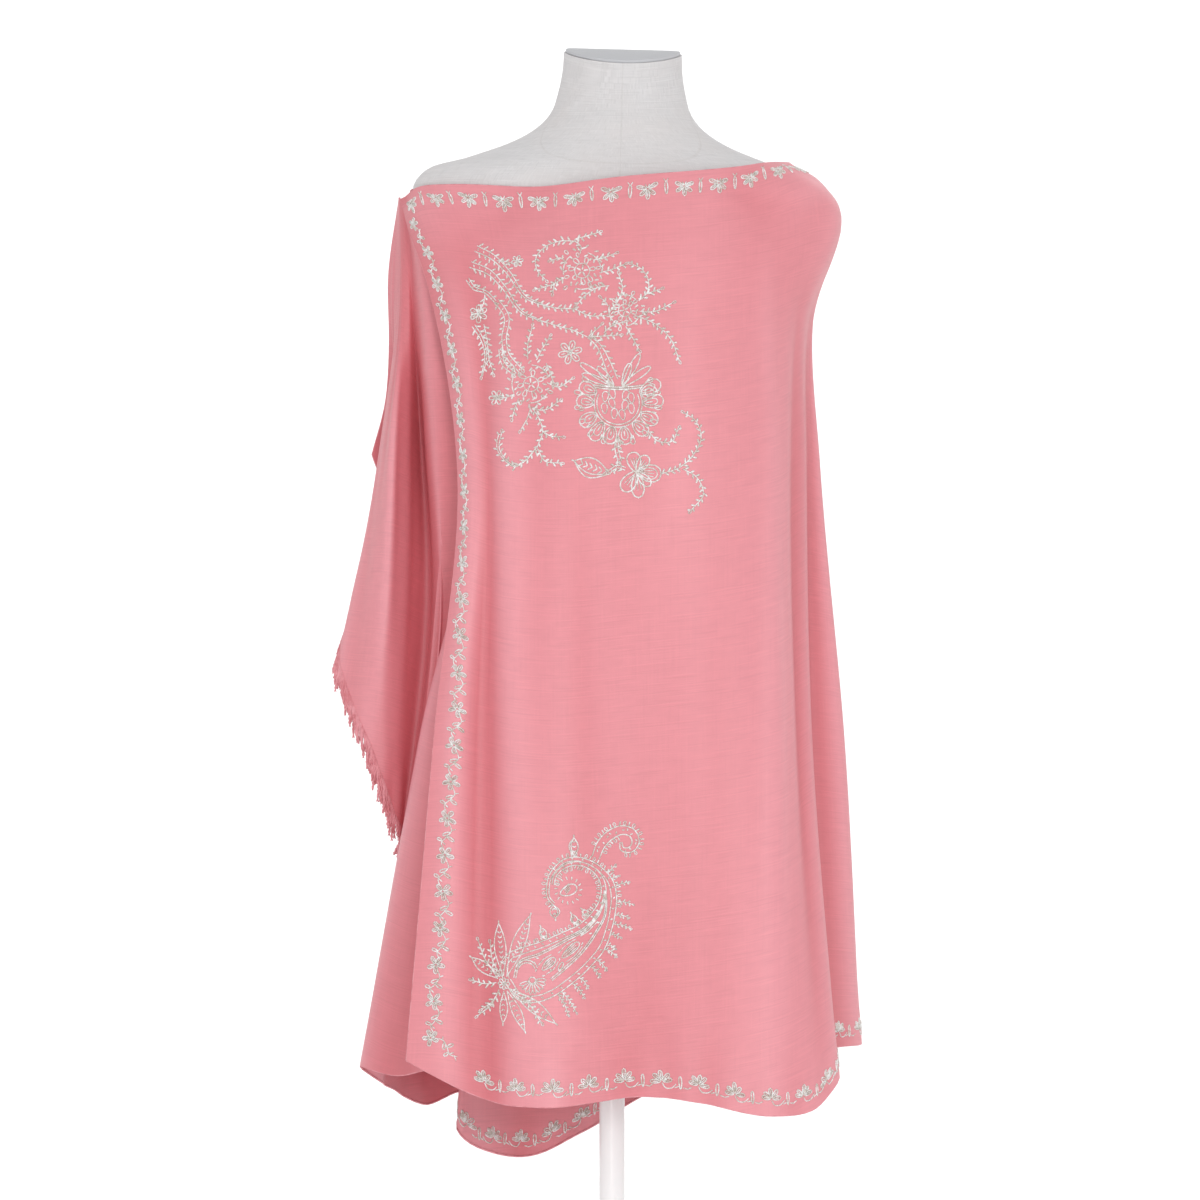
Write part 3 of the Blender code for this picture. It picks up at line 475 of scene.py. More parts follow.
class Drape:
    """A stretch of hanging cloth as a fine grid, looked up by cloth millimetres."""

    def __init__(self, lines, points, step, stations, crowding, creases, painted_shades, flip=1.0):
        """lines start with their place along the cloth and their layers; points is what they run through."""
        knots, layers = zip(*(line[:2] for line in lines))
        curves = [curve_through(row) for row in points]
        reach = knots[-1] - knots[0]
        columns = int(round(reach / step)) + 1
        self.along = np.linspace(knots[0], knots[-1], columns)
        self.shares = (np.arange(stations + 1) / stations) ** crowding
        dense = spline(knots, np.array(curves), self.along)
        depth = spline(knots, layers, self.along)
        sheet = []
        for curve, layer in zip(dense, depth):
            clearance = layer_clearance(curve, layer)
            for _ in range(CLEARING_PASSES):
                curve = spaced(keep_clear(curve, clearance), np.linspace(0, 1, len(curve)))
            sheet.append(spaced(curve, self.shares))
        self.sheet = np.array(sheet)
        self.flip = flip
        self.lengths = np.array([path_lengths(curve)[-1] for curve in self.sheet])
        self.down = self.shares[None, :] * self.lengths[:, None]
        self.crease(creases, depth)
        self.normals = sheet_normals(self.sheet) * self.flip
        # the cloth's painted light: painted shade in troughs, painted highlight on crests
        self.painted_light = self.painted_relief_light(painted_shades)

    def crease(self, creases, depth):
        along = np.repeat(self.along[:, None], len(self.shares), axis=1)
        lift = crease_heights(creases, along, self.down)
        from_hem = self.lengths[:, None] - self.down
        flutter = sum(np.sin(along * 2 * math.pi / length + index * 1.7)
                      for index, length in enumerate(HEM_WAVE_LENGTHS))
        lift += HEM_WAVE / 2 * flutter * (1 - smooth_step(from_hem, 0, HEM_WAVE_REACH))
        normals = sheet_normals(self.sheet) * self.flip
        self.sheet = self.sheet + normals * lift[:, :, None]
        for column, layer in enumerate(depth):
            curve = self.sheet[column]
            moved = np.abs(lift[column]) > SMALLEST_LIFT
            clearance = layer_clearance(curve, layer)
            if moved.any():
                curve[moved] = keep_clear(curve[moved], clearance[moved])

    def painted_relief_light(self, painted_shades):
        """Painted light: how far each place stands above the cloth round it, from 0 (painted shade in a
        trough) to 1 (painted highlight on a crest), less the painted shade under other layers.
        """
        steps = np.diff(self.along).mean()
        reach = int(3 * PAINTED_LIGHT_REACH / steps)
        weights = np.exp(-(np.arange(-reach, reach + 1) * steps / PAINTED_LIGHT_REACH) ** 2)
        padded = np.pad(self.sheet, ((reach, reach), (0, 0), (0, 0)), mode="reflect", reflect_type="odd")
        level = sum(weight * padded[shift:shift + len(self.sheet)] for shift, weight in enumerate(weights))
        relief = np.sum((self.sheet - level / weights.sum()) * self.normals, axis=2)
        painted_light = 0.5 + relief / PAINTED_LIGHT_RELIEF / 2
        # painted shade where other layers of cloth lie over this one
        for centre, width, share, start, full in painted_shades:
            beside = np.exp(-((self.along[:, None] - centre) / width) ** 2)
            painted_light -= share * beside * smooth_step(self.down, start, full)
        return np.clip(painted_light, 0, 1)

    def height_above_hem(self, along, up):
        return np.interp(along, self.along, self.lengths) - up

    def place(self, along, down, face=1.0):
        """Points and normals on the cloth's outer face, or on its inner face where face is -1."""
        along, down = np.asarray(along, float), np.asarray(down, float)
        column = np.interp(along, self.along, np.arange(len(self.along)))
        left = np.clip(column.astype(int), 0, len(self.along) - 2)
        t = (column - left)[:, None]
        rows = []
        for offset in (0, 1):
            share = np.clip(down / self.lengths[left + offset], 0, 1)
            station = np.interp(share, self.shares, np.arange(len(self.shares)))
            upper = np.clip(station.astype(int), 0, len(self.shares) - 2)
            s = (station - upper)[:, None]
            rows.append([grid[left + offset, upper] * (1 - s) + grid[left + offset, upper + 1] * s
                         for grid in (self.sheet, self.normals)])
        points = rows[0][0] * (1 - t) + rows[1][0] * t
        normals = unit(rows[0][1] * (1 - t) + rows[1][1] * t)
        thickness = bpy.context.scene.shawl_sizes.cloth / MM
        depth = CLOTH_WALL if face > 0 else CLOTH_WALL - thickness
        return points + normals * depth, normals * face

    def stretch(self, along, down):
        """Real millimetres for each millimetre of the along scale, near one place."""
        ends, _ = self.place(np.array([along - 3, along + 3]), np.array([down, down]))
        return max(0.3, np.linalg.norm(ends[1] - ends[0]) / 6)


@functools.lru_cache(maxsize=None)
def wrap_drape():
    points = [(line[2:5], line[5:8], (*line[8:10], CHEST_LEVEL), (*line[10:12], BUST_LEVEL),
               (*line[12:14], HIP_LEVEL), line[14:]) for line in HANG_LINES]
    return Drape(HANG_LINES, points, WRAP_STEP, WRAP_STATIONS, WRAP_CROWDING, WRAP_CREASES, WRAP_PAINTED_SHADE)


@functools.lru_cache(maxsize=None)
def far_end_drape():
    points = [np.reshape(line[2:], (-1, 3)) for line in GATHER_LINES]
    return Drape(GATHER_LINES, points, FAR_END_STEP, FAR_END_STATIONS, FAR_END_CROWDING, FAR_END_CREASES,
                 FAR_END_PAINTED_SHADE, flip=-1.0)


@functools.lru_cache(maxsize=None)
def front_tree():
    """Search tree of the cloth's front, with the grid corner of each of its faces."""
    drape = wrap_drape()
    last = int(np.searchsorted(drape.along, 440))
    outer = (drape.sheet + drape.normals * CLOTH_WALL)[:last + 1]
    rows = outer.shape[1]
    faces, corners = [], []
    for column in range(last):
        for row in range(rows - 1):
            corner = column * rows + row
            faces.append((corner, corner + rows, corner + rows + 1, corner + 1))
            corners.append((column, row))
    return BVHTree.FromPolygons([Vector(point) for point in outer.reshape(-1, 3)], faces), corners


def from_front(points):
    """Puts points drawn from the front, (x, z) in millimetres, on the cloth behind them."""
    tree, corners = front_tree()
    normals = wrap_drape().normals
    places, ways = [], []
    for x, z in points:
        place, _, face, _ = tree.ray_cast(Vector((x, -400, z)), Vector((0, 1, 0)))
        if place is None:
            place, _, face, _ = tree.find_nearest(Vector((x, -130, z)))
        column, row = corners[face]
        places.append(place)
        ways.append(normals[column:column + 2, row:row + 2].reshape(-1, 3).mean(axis=0))
    return np.array(places), unit(np.array(ways))


# ---- meshes ----
def new_piece(name, points, faces, coordinates, material, sharp_angle=None, painted_light=None):
    """Mesh object from points in millimetres and cloth coordinates for each corner of each face."""
    mesh = bpy.data.meshes.new(name)
    mesh.from_pydata(points * MM, [], faces)
    mesh.uv_layers.new(name="cloth").data.foreach_set("uv", coordinates.ravel())
    # painted light level for each point, which the wool's colour reads: painted shade in troughs, painted
    # highlight on crests
    if painted_light is not None:
        mesh.attributes.new("painted_light", "FLOAT", "POINT").data.foreach_set("value", painted_light.astype(np.float32))
    mesh.materials.append(material)
    mesh.shade_smooth()
    if sharp_angle:
        mesh.set_sharp_from_angle(angle=math.radians(sharp_angle))
    piece = bpy.data.objects.new(name, mesh)
    bpy.context.scene.collection.objects.link(piece)
    return piece


class MeshBook:
    """Collects the points, faces and cloth coordinates of one joined mesh, in millimetres."""

    def __init__(self):
        self.points, self.faces, self.coordinates = [], [], []
        self.count = 0

    def add(self, points, faces, coordinates):
        """coordinates has one pair for each corner of each face."""
        self.points.append(np.asarray(points, float))
        self.faces.extend([tuple(corner + self.count for corner in face) for face in faces])
        self.coordinates.extend(coordinates)
        self.count += len(points)

    def tube(self, path, profile, frames):
        """Sweeps a ring of (aside, out) offsets, which may change along the path, and closes its ends."""
        sides = profile.shape[1]
        asides, outs = frames
        rings = (path[:, None, :] + profile[:, :, 0:1] * asides[:, None, :]
                 + profile[:, :, 1:2] * outs[:, None, :])
        count = len(path)
        travelled = path_lengths(path)
        faces, coordinates = ring_faces(count, sides), []
        for near, far in zip(travelled, travelled[1:]):
            for side in range(sides):
                low, high = side / sides, (side + 1) / sides
                coordinates += [(near, low), (near, high), (far, high), (far, low)]
        faces += ring_ends(count, sides)
        coordinates += [(travelled[0], 0.5)] * sides + [(travelled[-1], 0.5)] * sides
        self.add(rings.reshape(-1, 3), faces, coordinates)

    def make(self, name, material, sharp_angle=None):
        coordinates = np.array(self.coordinates, np.float32)
        coordinates[:, 0] *= MM
        return new_piece(name, np.concatenate(self.points), self.faces, coordinates, material, sharp_angle)


def cloth_shell(drape, name, material, thickness):
    """Thin closed shell whose outer face is the drape's, with cloth coordinates in metres."""
    columns, stations = drape.sheet.shape[:2]
    outer = (drape.sheet + drape.normals * CLOTH_WALL).reshape(-1, 3)
    inner = (drape.sheet + drape.normals * (CLOTH_WALL - thickness)).reshape(-1, 3)
    offset = len(inner)
    corner = (np.arange(columns - 1)[:, None] * stations + np.arange(stations - 1)).ravel()
    beside = corner + stations
    inside = np.stack([corner, beside, beside + 1, corner + 1], axis=1)
    outside = np.stack([corner, corner + 1, beside + 1, beside], axis=1) + offset
    grid = np.arange(columns * stations).reshape(columns, stations)
    rim = np.concatenate([grid[:, 0], grid[-1, 1:], grid[-2::-1, -1], grid[0, -2:0:-1]])
    after = np.roll(rim, -1)
    edge = np.stack([rim, rim + offset, after + offset, after], axis=1)
    faces = np.concatenate([inside, outside, edge])
    if drape.flip < 0:
        faces = faces[:, ::-1]
    flat = np.stack([np.repeat(drape.along, stations), drape.down.ravel()], axis=1)
    coordinates = (np.tile(flat, (2, 1)) * MM)[faces.ravel()].astype(np.float32)
    # painted light on the inner face is the reverse of the outer face's, as its troughs are the outer crests
    painted_light = np.concatenate([1 - drape.painted_light.ravel(), drape.painted_light.ravel()])
    return new_piece(name, np.concatenate([inner, outer]), faces.tolist(), coordinates, material,
                     CLOTH_SHARP_ANGLE, painted_light)


def unit_circle(angles):
    return np.stack([np.cos(angles), np.sin(angles)], axis=1)


def round_profile(radii, sides):
    """Ring of offsets for each radius along a path."""
    return np.asarray(radii)[:, None, None] * unit_circle(2 * math.pi * np.arange(sides) / sides)[None]


def path_frames(path, normals):
    """Sideways and outward directions along a path that lies on a surface."""
    ways = directions(path)
    asides = unit(np.cross(normals, ways))
    return asides, unit(np.cross(ways, asides))


# ---- sewn lines ----
# a stroke is one sewn line in flat millimetres; taper 0 keeps its width and 1 draws both ends in
Stroke = namedtuple("Stroke", "points width taper")


def sew(book, strokes, placing, height):
    """Lays strokes on the cloth as rounded raised lines; placing turns flat points into places."""
    for stroke in strokes:
        points = np.asarray(stroke.points, float)
        length = path_lengths(points)[-1]
        if length < SHORTEST_STROKE:
            continue
        count = max(3, int(math.ceil(length / STITCH_STEP)) + 1)
        shares = np.linspace(0, 1, count)
        places, normals = placing(spaced(points, shares))
        fullness = 1 - stroke.taper * (1 - np.sin(math.pi * (0.12 + 0.76 * shares)))
        half = stroke.width / 2 * fullness
        rise = height * (0.6 + 0.4 * fullness)
        profile = np.zeros((count, 4, 2))
        profile[:, 0, 0], profile[:, 2, 0] = half, -half
        profile[:, 1, 1], profile[:, 3, 1] = rise, -STITCH_SINK
        book.tube(places, profile, path_frames(places, normals))


def turn(points, angle):
    cosine, sine = math.cos(angle), math.sin(angle)
    points = np.asarray(points, float)
    return np.stack([points[..., 0] * cosine - points[..., 1] * sine,
                     points[..., 0] * sine + points[..., 1] * cosine], axis=-1)


def moved(strokes, offset, angle=0.0, scale=1.0):
    return [Stroke(turn(np.asarray(stroke.points) * scale, angle) + np.asarray(offset, float),
                   stroke.width, stroke.taper) for stroke in strokes]


def polar(angle, length=1.0):
    return np.array([math.cos(angle), math.sin(angle)]) * length


def angle_of(way):
    return math.atan2(way[1], way[0])


def ring(count, start=0.0):
    """Evenly spaced angles, once round."""
    return [start + 2 * math.pi * index / count for index in range(count)]


def stroke_list(draw):
    """Makes a function that yields strokes return them as a list, so that its random draws stay in order."""
    @functools.wraps(draw)
    def collect(*values, **named):
        return list(draw(*values, **named))
    return collect


def petal(base, angle, length, width, thread):
    """Outlined petal: one closed line from its base out to a rounded tip and back."""
    t = np.linspace(0, 1, 13)
    x = length * (1 - np.cos(2 * math.pi * t)) / 2
    y = width / 2 * np.sin(2 * math.pi * t) * (0.55 + 0.45 * x / length)
    return Stroke(turn(np.stack([x, y], axis=1), angle) + np.asarray(base), thread, 0.0)


def satin(base, angle, length, width):
    """Small solid leaf: a single fat stitch with narrow ends."""
    end = polar(angle, length)
    return Stroke(np.array([np.zeros(2), end * 0.5, end]) + np.asarray(base), width, 0.45)


def filled_petal(base, angle, length, width, thread):
    """Outlined petal with one satin stitch inside."""
    inside = np.asarray(base) + polar(angle, length * 0.22)
    return [petal(base, angle, length, width, thread), satin(inside, angle, length * 0.6, width * 0.32)]


def circle(radius, thread, centre=(0, 0), turns=1.0, grow=0.0, points=26):
    angles = np.linspace(0, 2 * math.pi * turns, points)
    reach = radius * (1 + grow * angles / angles[-1])
    return Stroke(unit_circle(angles) * reach[:, None] + centre, thread, 0.0)


@stroke_list
def star(radius, petals, turned_by, thread):
    """Small open flower of outlined petals round a knot."""
    for angle in ring(petals, turned_by):
        yield petal(polar(angle, radius * 0.14), angle, radius * 0.86, radius * 0.6, thread)
        if radius > 8:
            yield satin(polar(angle, radius * 0.4), angle, radius * 0.34, radius * 0.13)
    yield satin((-radius * 0.14, 0), 0.0, radius * 0.28, radius * 0.26)


def side_ways(curve):
    """Unit directions and left-hand normals along a flat curve."""
    ways = directions(curve)
    return ways, np.stack([-ways[:, 1], ways[:, 0]], axis=1)


@stroke_list
def leafy_line(points, thread, rng, sides="both", twin=(0, 0), scale=1.0):
    """Stem with little satin leaves on one or both sides; a twin stem has beads in its gap."""
    curve = curve_through(points, STEM_POINTS)
    total = path_lengths(curve)[-1]
    last = STEM_POINTS - 1
    ways, lefts = side_ways(curve)
    gap = np.interp(np.linspace(0, 1, STEM_POINTS), (0, 1), twin)
    yield Stroke(curve, thread * 0.95, 0.2)
    if max(twin):
        yield Stroke(curve + lefts * gap[:, None], thread * 0.9, 0.2)
    pitch = LEAF_PITCH * scale
    for at in np.arange(pitch * 0.4, total - pitch * 0.3, pitch):
        for side in (1, -1):
            if sides == "left" and side < 0:
                continue
            here = min(total, at + (pitch * 0.45 if side < 0 else 0) + rng.uniform(-0.4, 0.4))
            spot = max(0, min(last, int(here / total * last)))
            root = curve[spot] + (lefts[spot] * gap[spot] if side > 0 else 0)
            bend = angle_of(ways[spot]) + side * math.radians(rng.uniform(40, 66))
            length = LEAF_LENGTH * scale * (1.08 - 0.3 * here / total) * rng.uniform(0.85, 1.15)
            yield satin(root + polar(bend, 0.5), bend, length, LEAF_WIDTH * math.sqrt(scale))
        spot = max(0, min(last, int((at + pitch / 3) / total * last)))
        if gap[spot] > 2.4:
            middle = curve[spot] + lefts[spot] * gap[spot] * 0.3
            yield satin(middle, angle_of(lefts[spot]) + 0.5, gap[spot] * 0.45, 1.5)
    yield petal(curve[-1], angle_of(ways[-1]), LEAF_LENGTH * scale, LEAF_WIDTH * scale * 1.1, thread * 0.8)


@stroke_list
def cluster_bloom(radius, turned_by, thread, rng):
    """Dense flower head: a satin heart, a ring of outlined petals and rows of short leaves."""
    yield circle(radius * 0.3, thread * 0.8)
    for angle in ring(5, turned_by):
        yield satin(polar(angle, radius * 0.05), angle, radius * 0.2, 2.0)
    for angle in ring(7, turned_by):
        lean = angle + rng.uniform(-0.5, 0.5)
        yield petal(polar(angle, radius * 0.3), lean, radius * rng.uniform(0.2, 0.32), radius * 0.2,
                    thread * 0.9)
    for index in range(30):
        angle = turned_by + 2 * math.pi * index / 15
        reach = radius * (rng.uniform(0.46, 0.64) if index < 15 else rng.uniform(0.7, 0.95))
        if index % 4:
            yield satin(polar(angle, reach), angle + rng.uniform(-1.1, 1.1), 3.9, 2.1)
        else:
            yield petal(polar(angle, reach), angle, 4.6, 3.2, thread * 0.85)
    for index in range(3):
        start = turned_by + 2.1 * index
        arc = np.linspace(start, start + 1.1, 10)
        yield Stroke(unit_circle(arc) * radius * 0.76, thread, 0.4)


@stroke_list
def large_bloom(radius, thread, rng):
    """Round flower with a netted heart, doubled petals round three quarters and a fan of blades."""
    heart = radius * 0.5
    yield circle(heart * 0.42, thread, (radius * 0.72, radius * 0.24), 1.8, -0.7)
    for column, rows in ((-0.62, (0.3, -0.25)), (-0.2, (0.45, 0.0, -0.5)), (0.25, (0.4, -0.1, -0.55)),
                         (0.66, (0.25, -0.25))):
        for row in rows:
            base = np.array([column, row - 0.24]) * heart
            yield petal(base, math.radians(90 + rng.uniform(-22, 22)), heart * 0.5, heart * 0.36,
                        thread * 0.85)
    rim = np.radians(np.linspace(-205, 25, 40))
    for share in (1.0, 1.13):
        yield Stroke(unit_circle(rim) * heart * share, thread, 0.2)
    for index in range(10):
        angle = math.radians(-206 + 232 * index / 9)
        length = radius * rng.uniform(0.42, 0.56)
        base = polar(angle, heart * 1.12)
        lean = angle + rng.uniform(-0.2, 0.2)
        yield petal(base, lean, length, radius * 0.4, thread)
        yield petal(base + polar(lean, 1.5), lean, length * 0.66, radius * 0.2, thread * 0.85)
        yield satin(base + polar(lean, 4.0), lean, length * 0.3, 1.7)
        yield satin(polar(angle + 0.2, radius * 0.82), angle + 0.2, 4.2, 1.8)
    for index in range(13):
        angle = math.radians(-216 + 252 * index / 12)
        yield petal(polar(angle, radius * 0.85), angle, radius * rng.uniform(0.15, 0.22), radius * 0.13,
                    thread * 0.85)
    for x, y in FAN_BLADES:
        tip = np.array([x, y], float)
        base = np.array([math.copysign(radius * 0.1, x), heart * 0.8])
        way = tip - base
        yield petal(base, angle_of(way), np.linalg.norm(way), radius * 0.2, thread)
    brim = np.linspace(-1, 1, 12)
    for drop in (0.0, 2.0):
        yield Stroke(np.stack([brim * heart * 1.15, heart * 0.86 - drop - 2 * (1 - brim**2)], axis=1),
                     thread * 1.3, 0.3)


@stroke_list
def lobed_bloom(radius, thread):
    """Flower of round lobes with long veins and a doubled outer edge on the right."""
    for degrees, reach, width in ((104, 0.84, 0.72), (56, 0.8, 0.6), (-6, 1.02, 0.9), (-46, 0.8, 0.5),
                                  (-86, 1.08, 0.66), (-126, 0.98, 0.76)):
        angle = math.radians(degrees)
        yield petal((0, 0), angle, radius * reach, radius * width, thread * 1.1)
        for lean in (-0.2, 0.0, 0.2):
            curve = np.array([polar(angle + lean, radius * reach * share) for share in (0.15, 0.4, 0.72)])
            yield Stroke(curve, thread * 0.75, 0.5)
    yield petal((1, 0), math.radians(-8), radius * 0.82, radius * 0.6, thread * 0.85)
    yield satin((-2, 0), 0.0, 4.4, 2.8)


@stroke_list
def outlined_leaf(base, tip, half_width, thread, rng, lined=True):
    """Outlined leaf with small veins along its middle and, where lined, a second line inside."""
    base, tip = np.array(base, float), np.array(tip, float)
    way = tip - base
    length, angle = np.linalg.norm(way), angle_of(way)
    t = np.linspace(0, 1, 18)
    for share, sides in ((1.0, (1, -0.8)), (0.62, (1,) if lined else ())):
        swell = half_width * share * np.sin(math.pi * t**1.15)
        for side in sides:
            flat = np.stack([t * length, swell * side], axis=1)
            yield Stroke(turn(flat, angle) + base, thread, 0.1)
    for at in np.arange(0.24, 0.86, 4.6 / length):
        for side in (1, -1):
            lean = angle + side * rng.uniform(0.6, 1.0)
            yield satin(base + way * at, lean, max(2.2, half_width * 0.5), 1.6)
    yield satin(tip, angle, 3.0, 1.8)


@stroke_list
def spray_strokes(thread):
    rng = random.Random(11)
    for points, sides, twin in SPRIGS:
        yield from leafy_line(points, thread, rng, sides, twin)
    for bloom in BLOOMS:
        turned_by = math.radians(bloom.turn)
        if bloom.kind == "cluster":
            shape = cluster_bloom(bloom.radius, turned_by, thread, rng)
        elif bloom.kind == "large":
            shape = large_bloom(bloom.radius, thread, rng)
        elif bloom.kind == "lobed":
            shape = lobed_bloom(bloom.radius, thread)
        else:
            shape = star(bloom.radius, 6, turned_by, thread)
        yield from moved(shape, bloom.centre)
    yield from outlined_leaf(*VEINED_LEAF, thread, rng)


@stroke_list
def hooks_along(line, start, end, side, thread, rng):
    """Little loops and stitches that stand on one side of a line, between two shares of its length."""
    total = path_lengths(line)[-1]
    for index, at in enumerate(np.arange(start * total, end * total, 4.0)):
        here = spaced(line, [at / total, min(1, (at + 1) / total)])
        _, lefts = side_ways(here)
        out = lefts[0] * side
        angle = angle_of(out) + rng.uniform(-0.35, 0.35)
        if index % 2:
            yield satin(here[0] + out * 0.8, angle, 3.4 * rng.uniform(0.8, 1.2), 1.7)
        else:
            yield petal(here[0] + out * 0.5, angle, 3.8 * rng.uniform(0.85, 1.15), 2.8, thread * 0.75)


def nearest(points, place):
    return points[np.argmin(np.linalg.norm(points - place, axis=1))]


@stroke_list
def paisley_strokes(thread):
    """Curled paisley: doubled edges with beads between them, a filled heart, sprigs all round it."""
    rng = random.Random(5)
    edges = []
    for band in PAISLEY_BANDS:
        curve = curve_through(band.points, BAND_POINTS)
        _, lefts = side_ways(curve)
        gaps = (band.gap[0], band.gap[0] * 0.8, band.gap[1])
        gap = np.interp(np.linspace(0, 1, BAND_POINTS), (0, 0.62, 1), gaps)
        inner = curve + lefts * gap[:, None]
        yield Stroke(curve, thread, 0.05)
        yield Stroke(inner, thread * 0.9, 0.05)
        if band.hooks:
            edges.append(curve)
            yield from hooks_along(curve, *band.hooks, band.side, thread, rng)
            for spot in range(6, 132, 5):
                middle = (curve[spot] + inner[spot]) / 2
                lean = angle_of(lefts[spot]) + 0.6
                yield satin(middle - polar(lean, 1.2), lean, min(2.6, abs(gap[spot]) * 0.5), 1.8)
    table = np.array(PAISLEY_SCROLL, float)
    lengths = path_lengths(table[:, :2])
    dense = spline(lengths, table, np.linspace(0, lengths[-1], SCROLL_POINTS))
    _, lefts = side_ways(dense[:, :2])
    for side in (1, -1):
        line = dense[:, :2] + lefts * dense[:, 2:] * side
        yield Stroke(line, thread, 0.05)
        yield from hooks_along(line, 0.12, 0.9 if side > 0 else 0.5, side, thread, rng)
    for spot in range(6, 80, 6):
        yield satin(dense[spot, :2], spot * 0.3, 2.4, 1.7)
    # sprigs and leaves on the outline grow from the nearest point of it
    outline = np.concatenate(edges)
    for tip in EDGE_SPRIGS:
        root = nearest(outline, tip)
        middle = (root + tip) / 2 + (0.8, 1.0)
        yield from leafy_line((root, middle, tip), thread * 0.9, rng, scale=0.72)
    for tip, half_width in EDGE_LEAVES:
        root = nearest(outline, tip)
        yield from outlined_leaf(root, tip, half_width, thread * 0.9, rng)
    # heart of the body: a fan of petals, two ribbed almonds, a drop, an arch and loose buds
    for index in range(9):
        angle = math.radians(-158 + 20 * index)
        yield petal((26 + 3 * math.cos(angle), 4 + 3 * math.sin(angle)), angle, 9.5, 3.6, thread * 0.85)
    yield circle(3.0, thread, (26, 4))
    for radius in (8.0, 10.4):
        arch = np.radians(np.linspace(20, 165, 14))
        yield Stroke(unit_circle(arch) * radius + (21, 12), thread, 0.2)
    for centre, angle, length in (((41, 19), 0.75, 16), ((61, 31.5), 0.72, 21)):
        base = np.array(centre) - turn([length / 2, 0], angle)
        yield petal(base, angle, length, 8.4, thread)
        for shift in (-1.7, 0.0, 1.7):
            yield satin(base + turn([3.0, shift], angle), angle, length * 0.66, 1.4)
        side_line = np.array([(-length / 2, 5.4), (0, 6.6), (length / 2, 4.4)])
        for side in (1, -1):
            yield Stroke(turn(side_line * (1, side), angle) + centre, thread * 0.85, 0.3)
    yield petal((50, 13), math.radians(62), 8.5, 4.0, thread)
    for lean in (-0.12, 0.0, 0.12):
        yield Stroke(np.array([(70, 44), (77, 51 + 20 * lean), (86, 62 + 36 * lean)]), thread * 0.9, 0.2)
    for x, y in ((17, 20), (22, 22), (27, 20), (13, 12), (30, 12), (36, 8), (44, 12), (33, 24), (52, 22),
                 (72, 36), (79, 46), (86, 56), (89, 66), (91, 74)):
        yield satin((x - 1, y), rng.uniform(0, 3), 2.8, 1.8)
    # bud inside the curl
    centre, radius = PAISLEY_BUD
    lean = math.radians(24)
    base = np.array(centre) - polar(lean, radius * 0.72)
    yield petal(base, lean, radius * 1.44, radius * 1.05, thread)
    for shift in (-2.4, -0.8, 0.8, 2.4):
        yield satin(base + turn([radius * 0.42, shift], lean), lean + 0.5, radius * 0.62, 1.2)
    for angle in ring(15):
        yield satin(polar(angle, radius * 0.86) + centre, angle + 0.3, 3.2, 1.7)
    # fan of leaves at the base
    for kind, tip, half_width in BASE_LEAVES:
        tip = np.array(tip, float)
        base = tip / np.linalg.norm(tip) * 7
        if kind == "leaf":
            yield from outlined_leaf(base, tip, half_width, thread * 0.95, rng, lined=False)
        else:
            bend = (base + tip) / 2 + turn(tip, math.pi / 2) * 0.08
            yield from leafy_line((base, bend, tip), thread, rng)
    yield from star(5.5, 8, 0, thread)


# ---- borders ----
def border_flower(petals, thread, rng):
    """Petals given by their degrees and length, each a little out of place."""
    for degrees, length in petals:
        angle = math.radians(degrees + rng.uniform(-7, 7))
        yield from filled_petal(polar(angle), angle, length * rng.uniform(0.9, 1.05), 4.2, thread)


@stroke_list
def top_border_repeat(thread, rng):
    """Flower that opens downwards and a bar with a forked head; +y is away from the edge."""
    petals = ((-20, 9.4), (200, 9.4), (38, 8.6), (142, 8.6), (90, 9.6))
    yield from border_flower(petals, thread, rng)
    for degrees in (-62, 242):
        yield satin((0, -0.6), math.radians(degrees), 4.4, 1.5)
    bar = BORDER_PITCH / 2
    yield petal((bar, 7.4), math.radians(-90), 12.6, 3.4, thread)
    for lean in (-58, -122):
        yield satin((bar, -4.6), math.radians(lean), 4.2, 1.3)


@stroke_list
def hem_border_repeat(thread, rng):
    """Flower of five petals that open upwards, with a curved stem to the next bar; +y is down."""
    petals = ((-90, 9.8), (-48, 9.2), (-132, 9.2), (-8, 9.0), (188, 9.0))
    yield from border_flower(petals, thread, rng)
    stem = [(0, 1), (3, 5.5), (9, 5.2), (13, 1.5)]
    yield Stroke(curve_through(stem, 16), thread * 0.9, 0.2)
    bar = BORDER_PITCH / 2
    yield petal((bar, 6.0), math.radians(-90), 11.5, 3.4, thread)
    for x, y, degrees, length, width in ((-1.5, 3.5, 160, 4.4, 1.4), (2.5, 4.5, 10, 4.8, 1.4),
                                         (6.5, 5.0, -25, 4.0, 1.3)):
        yield satin((bar + x, y), math.radians(degrees), length, width)


@stroke_list
def end_border_repeat(thread, rng):
    """Flower on a winding stem with leaf pairs and little rings; +x runs down the end."""
    for index in range(5):
        angle = math.radians(72 * index + rng.uniform(-10, 10))
        yield from filled_petal(polar(angle), angle, 7.0, 4.2, thread)
    stem = [(4, 1.5), (11, 4.2), (17, 1.0), (23, -3.6), (29, -1.0)]
    yield Stroke(curve_through(stem, 24), thread * 0.9, 0.2)
    for base, degrees, length, width in (((13, 3.6), -65, 7.2, 3.2), ((17, 1.0), 58, 6.8, 3.0),
                                         ((21, -3.0), -112, 5.4, 3.0)):
        yield petal(base, math.radians(degrees), length, width, thread)
    for base, degrees, length, width in (((22, -3.0), 48, 4.2, 1.5), ((27, -2.4), -40, 3.8, 1.4),
                                         ((11, 4.0), 120, 3.8, 1.4)):
        yield satin(base, math.radians(degrees), length, width)


